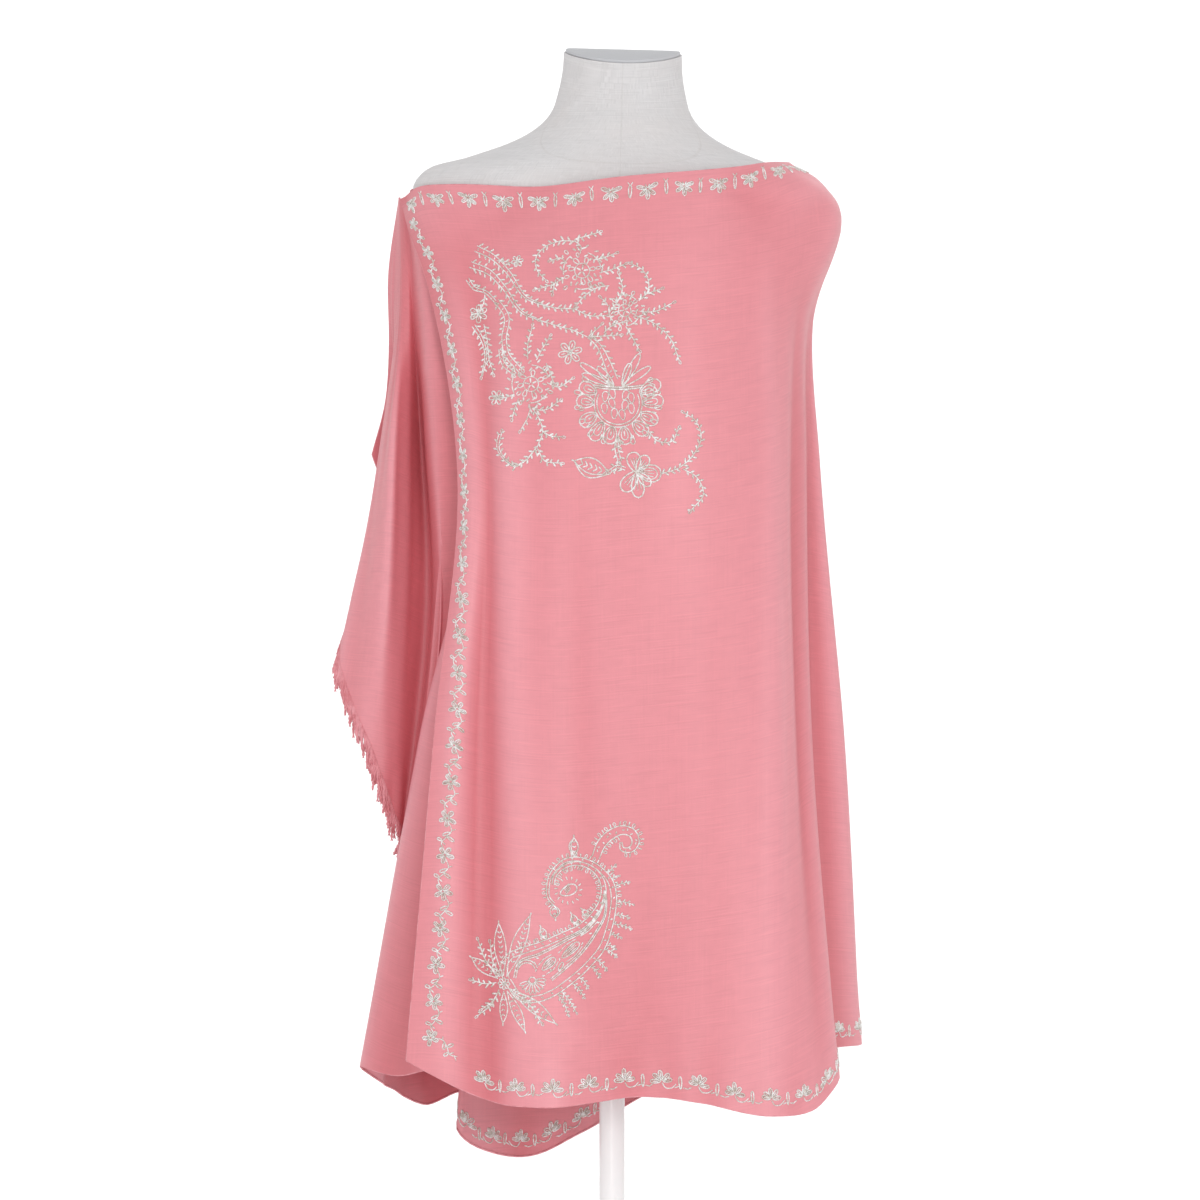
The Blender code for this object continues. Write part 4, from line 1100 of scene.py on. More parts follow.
def sew_run_border(book, repeat, from_edge, thread, height, span, face=1.0, seed=3):
    """Border along the top or the hem; from_edge turns (along, inset) into the distance down."""
    drape = wrap_drape()
    rng = random.Random(seed)
    alongs = np.linspace(span[0], span[1], 400)
    path, _ = drape.place(alongs, from_edge(alongs, 0.0))
    lengths = path_lengths(path)
    first, spare = BORDER_PITCH * 0.5, BORDER_PITCH * 0.4
    for index in range(int((lengths[-1] - first - spare) / BORDER_PITCH) + 1):
        centre = np.interp(first + BORDER_PITCH * index, lengths, alongs)
        stretch = drape.stretch(centre, float(from_edge(np.array([centre]), 0.0)[0]))
        lean = math.radians(rng.uniform(-4, 4))
        strokes = moved(repeat(thread, rng), (0, rng.uniform(-0.7, 0.7)), lean, rng.uniform(0.95, 1.04))

        def placing(points):
            along = np.clip(centre + points[:, 0] / stretch, 1, drape.along[-1] - 1)
            return drape.place(along, from_edge(along, points[:, 1]), face)

        sew(book, strokes, placing, height)


def below_top(along, y):
    return np.full_like(along, TOP_BORDER_INSET) + y


def above_hem(along, y):
    return wrap_drape().height_above_hem(along, HEM_BORDER_INSET) + y


def sew_end_border(book, thread, height):
    """Border down the embroidered end, between the top border and the hem border."""
    drape = wrap_drape()
    rng = random.Random(8)
    first, last = TOP_BORDER_INSET + 22, drape.lengths[0] - HEM_BORDER_INSET - 6
    for mark in np.linspace(first, last, round((last - first) / BORDER_PITCH) + 1):
        corner = CORNER_TURN if mark == last else 0.0
        strokes = moved(end_border_repeat(thread, rng), (0, rng.uniform(-0.9, 0.9)),
                        corner + math.radians(rng.uniform(-6, 6)), rng.uniform(0.94, 1.04))
        across = drape.stretch(14, mark)
        inset = np.interp(mark, *zip(*END_BORDER_INSETS))

        def placing(points):
            along = np.clip((inset + points[:, 1]) / across, 2, 80)
            return drape.place(along, mark + points[:, 0])

        sew(book, strokes, placing, height)


# ---- node groups and materials ----
WEFT_SLANT = math.radians(3.0)
WEFT_SLUBS, WARP_SLUBS, BLOTCHES = (22.0, 760.0, 1.0), (560.0, 17.0, 1.0), (60.0, 95.0, 1.0)
LIGHT_SLUB, DARK_SLUB = (0.58, 0.70), (0.42, 0.30)       # noise at which a slub sets in and is full
PAINTED_LIGHT_TINTS = ((0.90, 0.70, 0.72), (1.08, 1.24, 1.25))     # painted shade in a trough and painted highlight on a crest
AGED_TINT = (1.02, 0.975, 0.95)
SEAM_TINT = (0.62, 0.55, 0.5)
SEAM_SHADE, SEAM_DEPTH = 0.12, -1.2
# painted highlight: this paler wool colour makes the rolled edges and the fringe show as bright lines
WOOL_THREAD_HIGHLIGHT_TINT = (1.14, 1.5, 1.48)


class Nodes:
    """Short calls for laying out a node tree; an input takes a value or the output that feeds it."""

    def __init__(self, tree):
        self.tree = tree

    def feed(self, socket, value):
        if isinstance(value, bpy.types.NodeSocket):
            self.tree.links.new(value, socket)
        else:
            socket.default_value = value

    def add(self, kind, inputs=(), **settings):
        node = self.tree.nodes.new("ShaderNode" + kind)
        node.location = (180 * len(self.tree.nodes), -40 * (len(self.tree.nodes) % 7))
        for name, value in settings.items():
            setattr(node, name, value)
        for name, value in dict(inputs).items():
            self.feed(node.inputs[name], value)
        return node.outputs

    def calc(self, operation, *values):
        return self.add("Math", enumerate(values), operation=operation)[0]

    def ramp(self, value, start, end, low=0.0, high=1.0, **settings):
        """Goes from low to high as a value goes from start to end."""
        inputs = {"Value": value, "From Min": start, "From Max": end, "To Min": low, "To Max": high}
        return self.add("MapRange", inputs, **settings)["Result"]

    def mix(self, factor, low, high, **settings):
        """Colour between two others, each a triple or an output."""
        low, high = ((*color, 1.0) if isinstance(color, tuple) else color for color in (low, high))
        return self.add("Mix", {"Factor": factor, 6: low, 7: high}, data_type="RGBA", **settings)[2]

    def blend(self, factor, low, high, start=0.35, end=0.65):
        """Colour between low and high as a factor goes from start to end."""
        return self.mix(self.ramp(factor, start, end), low, high)

    def waves(self, turns):
        return self.calc("SINE", self.calc("MULTIPLY", turns, 2 * math.pi))

    def handled(self, patches_per_metre):
        """Tone of the handling patches over the object."""
        inputs = {"Patches per Metre": patches_per_metre, "Place": self.add("TexCoord")["Object"]}
        return self.add("Group", inputs, node_tree=handling_group())["Tone"]

    def bump(self, shader, height, strength, distance):
        bumps = self.add("Bump", {"Strength": strength, "Distance": distance, "Height": height})
        self.feed(shader["Normal"], bumps["Normal"])


def new_group(name, inputs, outputs):
    """Empty node group: the calls for its tree, what it is given and what it has to give."""
    tree = bpy.data.node_groups.new(name, "ShaderNodeTree")
    for label, kind, value in inputs:
        socket = tree.interface.new_socket(label, in_out="INPUT", socket_type=kind)
        if value is not None:
            socket.default_value = value
    for label in outputs:
        tree.interface.new_socket(label, in_out="OUTPUT", socket_type="NodeSocketFloat")
    return Nodes(tree), tree.nodes.new("NodeGroupInput").outputs, tree.nodes.new("NodeGroupOutput").inputs


@functools.lru_cache(maxsize=None)
def weave_group():
    """Uneven hand-spun weave: soft blotches, sparse light and dark threads and a fine plain weave."""
    nodes, given, result = new_group(
        "hand_weave",
        (("Cloth Place", "NodeSocketVector", None), ("Threads per Metre", "NodeSocketFloat", 900.0),
         ("Cross Slubs", "NodeSocketFloat", 0.4)),
        ("Tone", "Height"))
    place = given["Cloth Place"]

    def slubs(scale, roughness=0.5, detail=1.0):
        spot = nodes.add("Mapping", {"Scale": scale, "Rotation": (0.0, 0.0, WEFT_SLANT), "Vector": place})
        return nodes.add("TexNoise", {"Scale": 1.0, "Detail": detail, "Roughness": roughness,
                                      "Vector": spot["Vector"]})["Fac"]

    def threads(noise):
        """Keeps only the strongest slubs: light ones count up and dark ones count down."""
        return nodes.calc("SUBTRACT", nodes.ramp(noise, *LIGHT_SLUB), nodes.ramp(noise, *DARK_SLUB))

    warp = nodes.calc("MULTIPLY", threads(slubs(WARP_SLUBS)), given["Cross Slubs"])
    both = nodes.calc("ADD", threads(slubs(WEFT_SLUBS)), warp)
    tone = nodes.calc("MULTIPLY_ADD", both, 0.5, slubs(BLOTCHES, 0.6, 3.0))
    axes = nodes.add("SeparateXYZ", {"Vector": place})
    ripples = [nodes.waves(nodes.calc("MULTIPLY", axes[axis], given["Threads per Metre"])) for axis in "XY"]
    nodes.feed(result["Tone"], tone)
    nodes.feed(result["Height"], nodes.calc("MULTIPLY_ADD", nodes.calc("MULTIPLY", *ripples), 0.22, tone))
    return nodes.tree


@functools.lru_cache(maxsize=None)
def handling_group():
    """Slow patches of tone, as cloth and paint get from handling."""
    nodes, given, result = new_group(
        "handling", (("Place", "NodeSocketVector", None), ("Patches per Metre", "NodeSocketFloat", 12.0)),
        ("Tone",))
    patches = nodes.add("TexNoise", {"Detail": 4.0, "Roughness": 0.55, "Vector": given["Place"],
                                     "Scale": given["Patches per Metre"]})
    nodes.feed(result["Tone"], patches["Fac"])
    return nodes.tree


def new_material(name, roughness, **constants):
    material = bpy.data.materials.new(name)
    material.use_nodes = True
    shader = material.node_tree.nodes["Principled BSDF"].inputs
    shader["Roughness"].default_value = roughness
    for label, value in constants.items():
        shader[label.replace("_", " ")].default_value = value
    return material, Nodes(material.node_tree), shader


def scaled(color, factor):
    return tuple(min(1.0, channel * factor) for channel in color)


def tinted(color, tint):
    return tuple(channel * share for channel, share in zip(color, tint))


def worn_weave(nodes, color, threads, cross_slubs, shades, patches, worn_from, worn_share, worn):
    """Weave in two shades of a colour that goes towards the worn colour in patches, and its height."""
    inputs = {"Threads per Metre": threads, "Cross Slubs": cross_slubs,
              "Cloth Place": nodes.add("UVMap", uv_map="cloth")["UV"]}
    weave = nodes.add("Group", inputs, node_tree=weave_group())
    woven = nodes.blend(weave["Tone"], *(scaled(color, shade) for shade in shades), 0.1, 0.9)
    share = nodes.ramp(nodes.handled(patches), worn_from, 0.7, 0.0, worn_share)
    return nodes.mix(share, woven, worn), weave["Height"]


@functools.lru_cache(maxsize=None)
def wool_material():
    """Fine wool, its colour darkened as painted shade in the troughs and paled as a painted highlight on the
    crests.
    """
    color = tuple(bpy.context.scene.shawl_colours.cloth)
    material, nodes, shader = new_material("rose_wool", 0.44, Specular_IOR_Level=0.6)
    faded, height = worn_weave(nodes, color, threads=1150.0, cross_slubs=0.32, shades=(0.94, 1.05),
                               patches=9.0, worn_from=0.3, worn_share=0.22, worn=scaled(color, 1.06))
    # painted light: the colour is tinted darker in troughs and shaded places and paler on crests
    tint = nodes.mix(nodes.add("Attribute", attribute_name="painted_light")["Fac"], *PAINTED_LIGHT_TINTS)
    nodes.feed(shader["Base Color"], nodes.mix(1.0, faded, tint, blend_type="MULTIPLY"))
    nodes.bump(shader, height, strength=0.16, distance=0.0005)
    return material


@functools.lru_cache(maxsize=None)
def twist_material(name, colors, twists, roughness, patches):
    """Spun thread: slanting twist lines along its length and changes of tone."""
    material, nodes, shader = new_material(name, roughness, Specular_IOR_Level=0.45)
    axes = nodes.add("SeparateXYZ", {"Vector": nodes.add("UVMap", uv_map="cloth")["UV"]})
    ridge = nodes.waves(nodes.calc("ADD", nodes.calc("MULTIPLY", axes["X"], twists), axes["Y"]))
    tone = nodes.calc("MULTIPLY_ADD", ridge, 0.05, nodes.handled(patches))
    nodes.feed(shader["Base Color"], nodes.blend(tone, *colors, 0.38, 0.60))
    nodes.bump(shader, ridge, strength=0.3, distance=0.0003)
    return material


@functools.lru_cache(maxsize=None)
def linen_material():
    """Pale linen with its weave, and sewn seams down the front and round the neck."""
    color = tuple(bpy.context.scene.shawl_colours.linen)
    material, nodes, shader = new_material("form_linen", 0.88, Sheen_Weight=0.1, Specular_IOR_Level=0.2)
    aged, height = worn_weave(nodes, color, threads=800.0, cross_slubs=0.9, shades=(0.93, 1.06), patches=16.0,
                              worn_from=0.35, worn_share=0.5, worn=tinted(color, AGED_TINT))
    axes = nodes.add("SeparateXYZ", {"Vector": nodes.add("TexCoord")["Object"]})
    lean = math.tan(FORM_LEAN)
    pivot = (LEAN_START + LEAN_END) / 2 * MM
    front = nodes.calc("ADD", nodes.calc("MULTIPLY_ADD", axes["Z"], -lean, axes["X"]), lean * pivot)
    sloped = nodes.calc("MULTIPLY_ADD", axes["Y"], -NECK_SEAM_SLOPE, axes["Z"])
    neck = nodes.calc("ADD", nodes.calc("MULTIPLY_ADD", axes["X"], lean, sloped), -NECK_SEAM_HEIGHT * MM)
    seams = nodes.calc("MAXIMUM", *(
        nodes.ramp(nodes.calc("ABSOLUTE", away), 0.0, SEAM_HALF_WIDTH * MM, 1.0, 0.0,
                   interpolation_type="SMOOTHSTEP") for away in (front, neck)))
    shade = nodes.calc("MULTIPLY", seams, SEAM_SHADE)
    nodes.feed(shader["Base Color"], nodes.mix(shade, aged, tinted(color, SEAM_TINT)))
    relief = nodes.calc("MULTIPLY_ADD", seams, SEAM_DEPTH, height)
    nodes.bump(shader, relief, strength=0.3, distance=0.0006)
    return material


@functools.lru_cache(maxsize=None)
def plain_material(name, color, roughness, patches, spread, coat):
    """Smooth finish with slow changes of tone and of gloss: card, enamel."""
    material, nodes, shader = new_material(name, roughness, Coat_Weight=coat)
    tone = nodes.handled(patches)
    nodes.feed(shader["Base Color"], nodes.blend(tone, scaled(color, 1 - spread), scaled(color, 1 + spread)))
    nodes.feed(shader["Roughness"], nodes.ramp(tone, 0.3, 0.7, roughness - 0.06, roughness + 0.08))
    return material


# ---- user settings ----
def size(name, description, default, low, high):
    return FloatProperty(name=name, description=description, default=default, min=low, max=high,
                         unit="LENGTH")


def power(name, description, default):
    return FloatProperty(name=name, description=description, default=default, min=0, unit="POWER")


def colour(name, description, *default):
    return FloatVectorProperty(name=name, description=description, subtype="COLOR", size=3, min=0, max=1,
                               default=default)


class ShawlSizes(bpy.types.PropertyGroup):
    cloth: size("Cloth thickness", "Thickness of the woven cloth", 0.0009, 0.0004, 0.0014)
    hem_roll: size("Rolled edge", "Radius of the rolled and sewn edges", 0.00095, 0.0004, 0.0015)
    thread: size("Thread width", "Width of one embroidered line", 0.0015, 0.0006, 0.002)
    thread_height: size("Thread height", "How far a sewn line stands up", 0.0009, 0.0002, 0.0012)


class ShawlColours(bpy.types.PropertyGroup):
    cloth: colour("Shawl", "Colour of the wool", 0.735, 0.245, 0.275)
    silk: colour("Silk", "Light side of the embroidery thread", 0.95, 0.95, 0.94)
    silk_shade: colour("Silk shade", "Darker side of the embroidery thread", 0.64, 0.55, 0.49)
    linen: colour("Linen", "Cover of the dress form", 0.675, 0.662, 0.667)
    card: colour("Neck cap", "Board that closes the neck", 0.53, 0.535, 0.555)
    enamel: colour("Stand", "Enamel of the pole and base", 0.95, 0.95, 0.95)


class StudioSettings(bpy.types.PropertyGroup):
    key: power("Key light", "Power of the large front light", 34.0)
    fill: power("Fill light", "Power of the side and low lights", 27.0)
    backdrop: power("Backdrop light", "Power of each light on the backdrop", 82.0)
    room: FloatProperty(name="Room light", description="Strength of the even light all round",
                        default=0.79, min=0)
    focal: FloatProperty(name="Focal length", description="Lens of the camera in millimetres",
                         default=116.84, min=20)


def finish_piece(piece, slot, *nodes):
    """Parents a finished piece to the part's root body and hides the named nodes that it stands for."""
    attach(piece, "root")
    if nodes:
        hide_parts(*nodes)
    return piece


def wool_thread():
    base = tuple(bpy.context.scene.shawl_colours.cloth)
    # the colour goes in patches between the cloth's own colour, a little darker, and a painted highlight tint
    colors = (scaled(base, 0.95), tinted(base, WOOL_THREAD_HIGHLIGHT_TINT))
    return twist_material("wool_thread", colors, twists=650.0, roughness=0.7, patches=120.0)


def silk_thread():
    colours = bpy.context.scene.shawl_colours
    colors = (tuple(colours.silk_shade), tuple(colours.silk))
    return twist_material("silk_thread", colors, twists=500.0, roughness=0.3, patches=260.0)


# ---- operators: the cloth ----
class SHAWL_OT_wrap(bpy.types.Operator):
    """The shawl from its embroidered end round the body to the fold under it"""
    bl_idname = "shawl.wrap"
    bl_label = "Shawl wrap"

    def execute(self, context):
        thickness = context.scene.shawl_sizes.cloth / MM
        piece = cloth_shell(wrap_drape(), "shawl_wrap", wool_material(), thickness)
        finish_piece(piece, "shawl_cloth", *WRAP_NODES)
        return {"FINISHED"}


class SHAWL_OT_far_end(bpy.types.Operator):
    """The far end of the shawl, gathered at the left shoulder"""
    bl_idname = "shawl.far_end"
    bl_label = "Gathered far end"

    def execute(self, context):
        thickness = context.scene.shawl_sizes.cloth / MM
        piece = cloth_shell(far_end_drape(), "shawl_far_end", wool_material(), thickness)
        finish_piece(piece, "shawl_cloth", "fringed_end")
        return {"FINISHED"}


def rolled_edge(book, path, normals, radius):
    middle = path + normals * (CLOTH_WALL - radius)
    book.tube(middle, round_profile(np.full(len(path), radius), ROLL_SIDES), path_frames(path, normals))


class SHAWL_OT_edges(bpy.types.Operator):
    """Rolled and sewn edges along the borders and the hem"""
    bl_idname = "shawl.edges"
    bl_label = "Rolled edges"

    def execute(self, context):
        radius = context.scene.shawl_sizes.hem_roll / MM
        wrap, far = wrap_drape(), far_end_drape()
        book = MeshBook()
        for column in (0, -1):
            rolled_edge(book, wrap.sheet[column, ::2], wrap.normals[column, ::2], radius)
        for station in (0, -1):
            rolled_edge(book, wrap.sheet[:, station], wrap.normals[:, station], radius)
        finish_piece(book.make("shawl_rolled_edges", wool_thread()), "shawl_cloth")
        book = MeshBook()
        for column in (0, -1):
            rolled_edge(book, far.sheet[column, ::2], far.normals[column, ::2], radius)
        finish_piece(book.make("far_end_rolled_edges", wool_thread()), "shawl_cloth")
        return {"FINISHED"}


class SHAWL_OT_fringe(bpy.types.Operator):
    """Twisted fringe along the far end, with loose threads between its tassels"""
    bl_idname = "shawl.fringe"
    bl_label = "Twisted fringe"

    def execute(self, context):
        rng = random.Random(21)
        drape = far_end_drape()
        edge = drape.sheet[:, -1] + drape.normals[:, -1] * (CLOTH_WALL * 0.65)
        normals = drape.normals[:, -1]
        downs = -directions(edge)
        hanging = unit(drape.sheet[:, -1] - drape.sheet[:, -2])
        aways = unit(hanging - downs * np.sum(hanging * downs, axis=1)[:, None])
        lengths = path_lengths(edge)
        book = MeshBook()
        rolled_edge(book, drape.sheet[:, -1], normals, 0.8)

        def spot(distance):
            """Place on the edge, the cloth's normal there, the way off the edge and the way down it."""
            return [np.array([np.interp(distance, lengths, values[:, axis]) for axis in range(3)])
                    for values in (edge, normals, aways, downs)]

        distance = 1.5
        while distance < lengths[-1] - FRINGE_END:
            bunch = 1 + 0.14 * math.sin(2 * math.pi * distance / TUFT_PITCH + 1.3 * math.sin(distance / 23))
            self.tassel(book, rng, spot(distance), bunch)
            distance += TASSEL_SPACING * rng.uniform(0.72, 1.35)
        for _ in range(LOOSE_THREADS):
            distance = rng.uniform(0, lengths[-1] - FRINGE_END)
            self.strand(book, rng, spot(distance), TASSEL_LENGTH * rng.uniform(0.35, 0.9))
        finish_piece(book.make("shawl_fringe", wool_thread()), "fringe_thread", "fringe")
        return {"FINISHED"}

    @staticmethod
    def centre_line(rng, spot, length, count):
        """A short curve that leaves the edge and droops under its own weight, and the frames along it."""
        base, normal, away, down = spot
        lean = rng.uniform(0.7, 1.3)
        way = unit((away + down * lean + normal * rng.uniform(-0.05, 0.25))[None])[0]
        t = np.linspace(0, 1, count)[:, None]
        droop = np.array([0, 0, -1.0]) * length * 0.15 * rng.uniform(0.5, 1.3)
        curl = (down * rng.uniform(0.1, 0.5) - away * rng.uniform(0.0, 0.35)) * length
        line = base + way * length * t + (droop + curl) * t**2
        ways = directions(line)
        asides = unit(np.cross(np.tile(normal, (count, 1)), ways))
        return line, (asides, np.cross(ways, asides))

    def tassel(self, book, rng, spot, bunch):
        length = TASSEL_LENGTH * bunch * rng.uniform(0.9, 1.1)
        line, (asides, outs) = self.centre_line(rng, spot, length, TASSEL_POINTS)
        t = np.linspace(0, 1, TASSEL_POINTS)
        start = rng.uniform(0, 2 * math.pi)
        for ply in (0, math.pi):
            angle = start + ply + t * 2 * math.pi * length / TASSEL_TWIST
            spread = TASSEL_PLY_RADIUS * 0.8 * (0.6 + 0.7 * t)
            aside, out = ((wave * spread)[:, None] for wave in (np.cos(angle), np.sin(angle)))
            path = line + aside * asides + out * outs
            radii = TASSEL_PLY_RADIUS * (1.0 - 0.15 * t) * np.where(t > 0.95, 0.6, 1)
            book.tube(path, round_profile(radii, TASSEL_SIDES), (asides, outs))

    def strand(self, book, rng, spot, length):
        line, frames = self.centre_line(rng, spot, length, STRAND_POINTS)
        book.tube(line, round_profile(np.full(STRAND_POINTS, STRAND_RADIUS), STRAND_SIDES), frames)


# ---- operators: the embroidery ----
class SHAWL_OT_borders(bpy.types.Operator):
    """Embroidered flower borders along the top, the hem and the end"""
    bl_idname = "shawl.borders"
    bl_label = "Embroidered borders"

    def execute(self, context):
        sizes = context.scene.shawl_sizes
        thread, height = sizes.thread / MM, sizes.thread_height / MM
        top, low = MeshBook(), MeshBook()
        sew_run_border(top, top_border_repeat, below_top, thread, height, (4, BORDER_REACH))
        sew_end_border(top, thread, height)
        sew_run_border(low, hem_border_repeat, above_hem, thread, height, (46, BORDER_REACH), seed=4)
        sew_run_border(low, hem_border_repeat, above_hem, thread, height, INNER_HEM_RANGE, -1.0, seed=6)
        finish_piece(top.make("border_top_and_end", silk_thread()), "shawl_cloth")
        finish_piece(low.make("border_hem", silk_thread()), "shawl_cloth")
        return {"FINISHED"}


def placing_from(origin):
    def placing(points):
        return from_front(points + np.asarray(origin, float))
    return placing


class SHAWL_OT_front_motifs(bpy.types.Operator):
    """The flower spray at the top of the front and the paisley near its hem"""
    bl_idname = "shawl.front_motifs"
    bl_label = "Front motifs"

    def execute(self, context):
        sizes = context.scene.shawl_sizes
        thread, height = sizes.thread / MM, sizes.thread_height / MM
        book = MeshBook()
        sew(book, spray_strokes(thread), placing_from(SPRAY_ORIGIN), height)
        sew(book, paisley_strokes(thread), placing_from(PAISLEY_ORIGIN), height)
        finish_piece(book.make("front_motifs", silk_thread()), "shawl_cloth")
        return {"FINISHED"}


class SHAWL_OT_declare(bpy.types.Operator):
    """Empty step: it states no flat cut and nothing that is sewn on"""
    bl_idname = "shawl.declare"
    bl_label = "Declare the cloth"

    def execute(self, context):
        return {"FINISHED"}


# ---- operators: the dress form and its stand ----
class SHAWL_OT_torso(bpy.types.Operator):
    """Padded torso of the dress form under a tight linen cover"""
    bl_idname = "shawl.torso"
    bl_label = "Dress form torso"

    def execute(self, context):
        rings = form_rings(form_heights(FORM_RINGS), FORM_SIDES)
        low, high = rings[0], rings[-1]
        inward = (low.mean(axis=0) - low) * RIM_ROUND / RIM_REACH
        rim = [low + inward * share + (0, 0, lift)
               for share, lift in ((1.0, 0.0), (0.3, 0.6), (0.0, RIM_ROUND))]
        rings = rim + rings[1:]
        faces = ring_faces(len(rings), FORM_SIDES) + ring_ends(len(rings), FORM_SIDES)
        travelled = path_lengths(np.array([points[0] for points in rings]))
        coordinates = []
        for points, near, far in zip(rings, travelled, travelled[1:]):
            around = path_lengths(np.concatenate([points, points[:1]]))
            for left, right in zip(around, around[1:]):
                coordinates += [(left, near), (right, near), (right, far), (left, far)]
        coordinates += [(x, y) for x, y, _ in (*low[::-1], *high)]
        book = MeshBook()
        book.add(np.concatenate(rings), faces, [(u, v * MM) for u, v in coordinates])
        piece = finish_piece(book.make("linen_torso", linen_material(), 50), "form_cover", "form_torso")
        return {"FINISHED"}


def deselect_all():
    if bpy.context.object and bpy.context.object.mode != "OBJECT":
        bpy.ops.object.mode_set(mode="OBJECT")
    bpy.ops.object.select_all(action="DESELECT")


def ring_piece(name, profile, material, vertices=96, closed=False):
    """A circle extruded and scaled along a profile of (radius, height), open rings capped or joined."""
    deselect_all()
    bpy.ops.mesh.primitive_circle_add(vertices=vertices, radius=profile[0][0] * MM,
                                      location=(0, 0, profile[0][1] * MM))
    piece = bpy.context.object
    piece.name = piece.data.name = name
    bpy.ops.object.transform_apply(location=True, rotation=True, scale=True)
    bpy.ops.object.mode_set(mode="EDIT")
    bpy.ops.mesh.select_all(action="SELECT")
    if not closed:
        bpy.ops.mesh.edge_face_add()
    for (radius, height), (following, level) in zip(profile, profile[1:]):
        bpy.ops.mesh.extrude_region_move(TRANSFORM_OT_translate={"value": (0, 0, (level - height) * MM)})
        share = following / radius
        bpy.ops.transform.resize(value=(share, share, 1), center_override=(0, 0, 0))
    bpy.ops.mesh.select_all(action="SELECT")
    bpy.ops.mesh.remove_doubles(threshold=1e-6)
    bpy.ops.mesh.normals_make_consistent(inside=False)
    bpy.ops.object.mode_set(mode="OBJECT")
    piece.data.materials.append(material)
    return piece


def rounded(piece, width, segments=3, angle=35):
    """Bevels the sharp rims of a piece and shades it smooth."""
    bevel = piece.modifiers.new("rim", "BEVEL")
    bevel.width, bevel.segments = width * MM, segments
    bevel.limit_method, bevel.angle_limit = "ANGLE", math.radians(angle)
    bpy.context.view_layer.objects.active = piece
    bpy.ops.object.modifier_apply(modifier=bevel.name)
    bpy.ops.object.shade_smooth_by_angle(angle=math.radians(angle))
    return piece


class SHAWL_OT_neck_cap(bpy.types.Operator):
    """Thin board that closes the sloping top of the neck"""
    bl_idname = "shawl.neck_cap"
    bl_label = "Neck cap"

    def execute(self, context):
        low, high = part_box("neck_cap")
        middle = (low + high) / 2
        half_width, half_depth = (high.x - low.x) / 2, (high.y - low.y) / 2 / math.cos(NECK_TILT)
        card = plain_material("cap_card", tuple(context.scene.shawl_colours.card), roughness=0.62,
                              patches=40.0, spread=0.02, coat=0.0)
        # unit rings from the middle of the top over the rim to the middle of the underside
        rings = ((100, 1.5), (400, 1.5), (700, 1.5), (1000, 1.5), (1000, -1.5), (600, -1.5), (100, -1.5))
        piece = ring_piece("neck_board", rings, card, 96)
        bpy.ops.object.mode_set(mode="EDIT")
        bpy.ops.mesh.select_all(action="SELECT")
        bpy.ops.transform.resize(value=(half_width, half_depth, 1), center_override=(0, 0, 0))
        bpy.ops.transform.rotate(value=-NECK_TILT, orient_axis="X", center_override=(0, 0, 0))
        bpy.ops.transform.translate(value=middle)
        bpy.ops.object.mode_set(mode="OBJECT")
        for vertex in piece.data.vertices:
            vertex.co.z -= NECK_BEND / MM * vertex.co.y ** 2 + math.tan(FORM_LEAN) * (vertex.co.x - middle.x)
        finish_piece(rounded(piece, 0.8), "cap_board", "neck_cap")
        return {"FINISHED"}


class SHAWL_OT_stand(bpy.types.Operator):
    """Enamelled base, pole and socket under the torso"""
    bl_idname = "shawl.stand"
    bl_label = "Stand"

    def execute(self, context):
        enamel = plain_material("white_enamel", tuple(context.scene.shawl_colours.enamel), roughness=0.34,
                                patches=22.0, spread=0.012, coat=0.3)
        bore = POLE_RADIUS + PLAY
        seat = BASE_THICKNESS / 2
        base = ring_piece("stand_base", (
            (BASE_RADIUS, 0), (BASE_RADIUS, BASE_THICKNESS), (BOSS_RADIUS + BOSS_FLARE, BASE_THICKNESS),
            (BOSS_RADIUS + BOSS_FLARE / 3, BASE_THICKNESS + BOSS_FLARE / 5),
            (BOSS_RADIUS, BASE_THICKNESS + BOSS_FLARE / 1.6), (BOSS_RADIUS, BOSS_HEIGHT),
            (bore, BOSS_HEIGHT), (bore, seat)), enamel, 128)
        self.cap_ring(base, bore, seat)
        finish_piece(rounded(base, EDGE_ROUND * 0.6, 4, 50), "white_enamel", "base")
        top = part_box("pole")[1].z / MM
        pole = ring_piece("stand_pole", ((POLE_RADIUS, seat + PLAY), (POLE_RADIUS, top)), enamel, 64)
        finish_piece(rounded(pole, 0.8), "white_enamel", "pole")
        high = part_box("socket")[1].z / MM
        socket = ring_piece("stand_socket", (
            (bore, high), (SOCKET_FLANGE_RADIUS, high), (SOCKET_FLANGE_RADIUS, high - FLANGE_THICKNESS),
            (SOCKET_RADIUS + EDGE_ROUND, high - FLANGE_THICKNESS),
            (SOCKET_RADIUS, high - FLANGE_THICKNESS - EDGE_ROUND), (SOCKET_RADIUS, high - SOCKET_LENGTH),
            (bore, high - SOCKET_LENGTH), (bore, high)), enamel, 96, closed=True)
        finish_piece(rounded(socket, 0.8), "white_enamel", "socket")
        return {"FINISHED"}

    @staticmethod
    def cap_ring(piece, radius, height):
        """Closes the bottom of the bore, the last ring of the base."""
        bpy.ops.object.mode_set(mode="EDIT")
        bpy.ops.mesh.select_all(action="DESELECT")
        bpy.ops.object.mode_set(mode="OBJECT")
        for vertex in piece.data.vertices:
            away = math.hypot(vertex.co.x, vertex.co.y)
            vertex.select = abs(away - radius * MM) < 1e-5 and abs(vertex.co.z - height * MM) < 1e-5
        bpy.ops.object.mode_set(mode="EDIT")
        bpy.ops.mesh.select_mode(type="VERT")
        bpy.ops.mesh.edge_face_add()
        bpy.ops.mesh.select_all(action="SELECT")
        bpy.ops.mesh.normals_make_consistent(inside=False)
        bpy.ops.object.mode_set(mode="OBJECT")
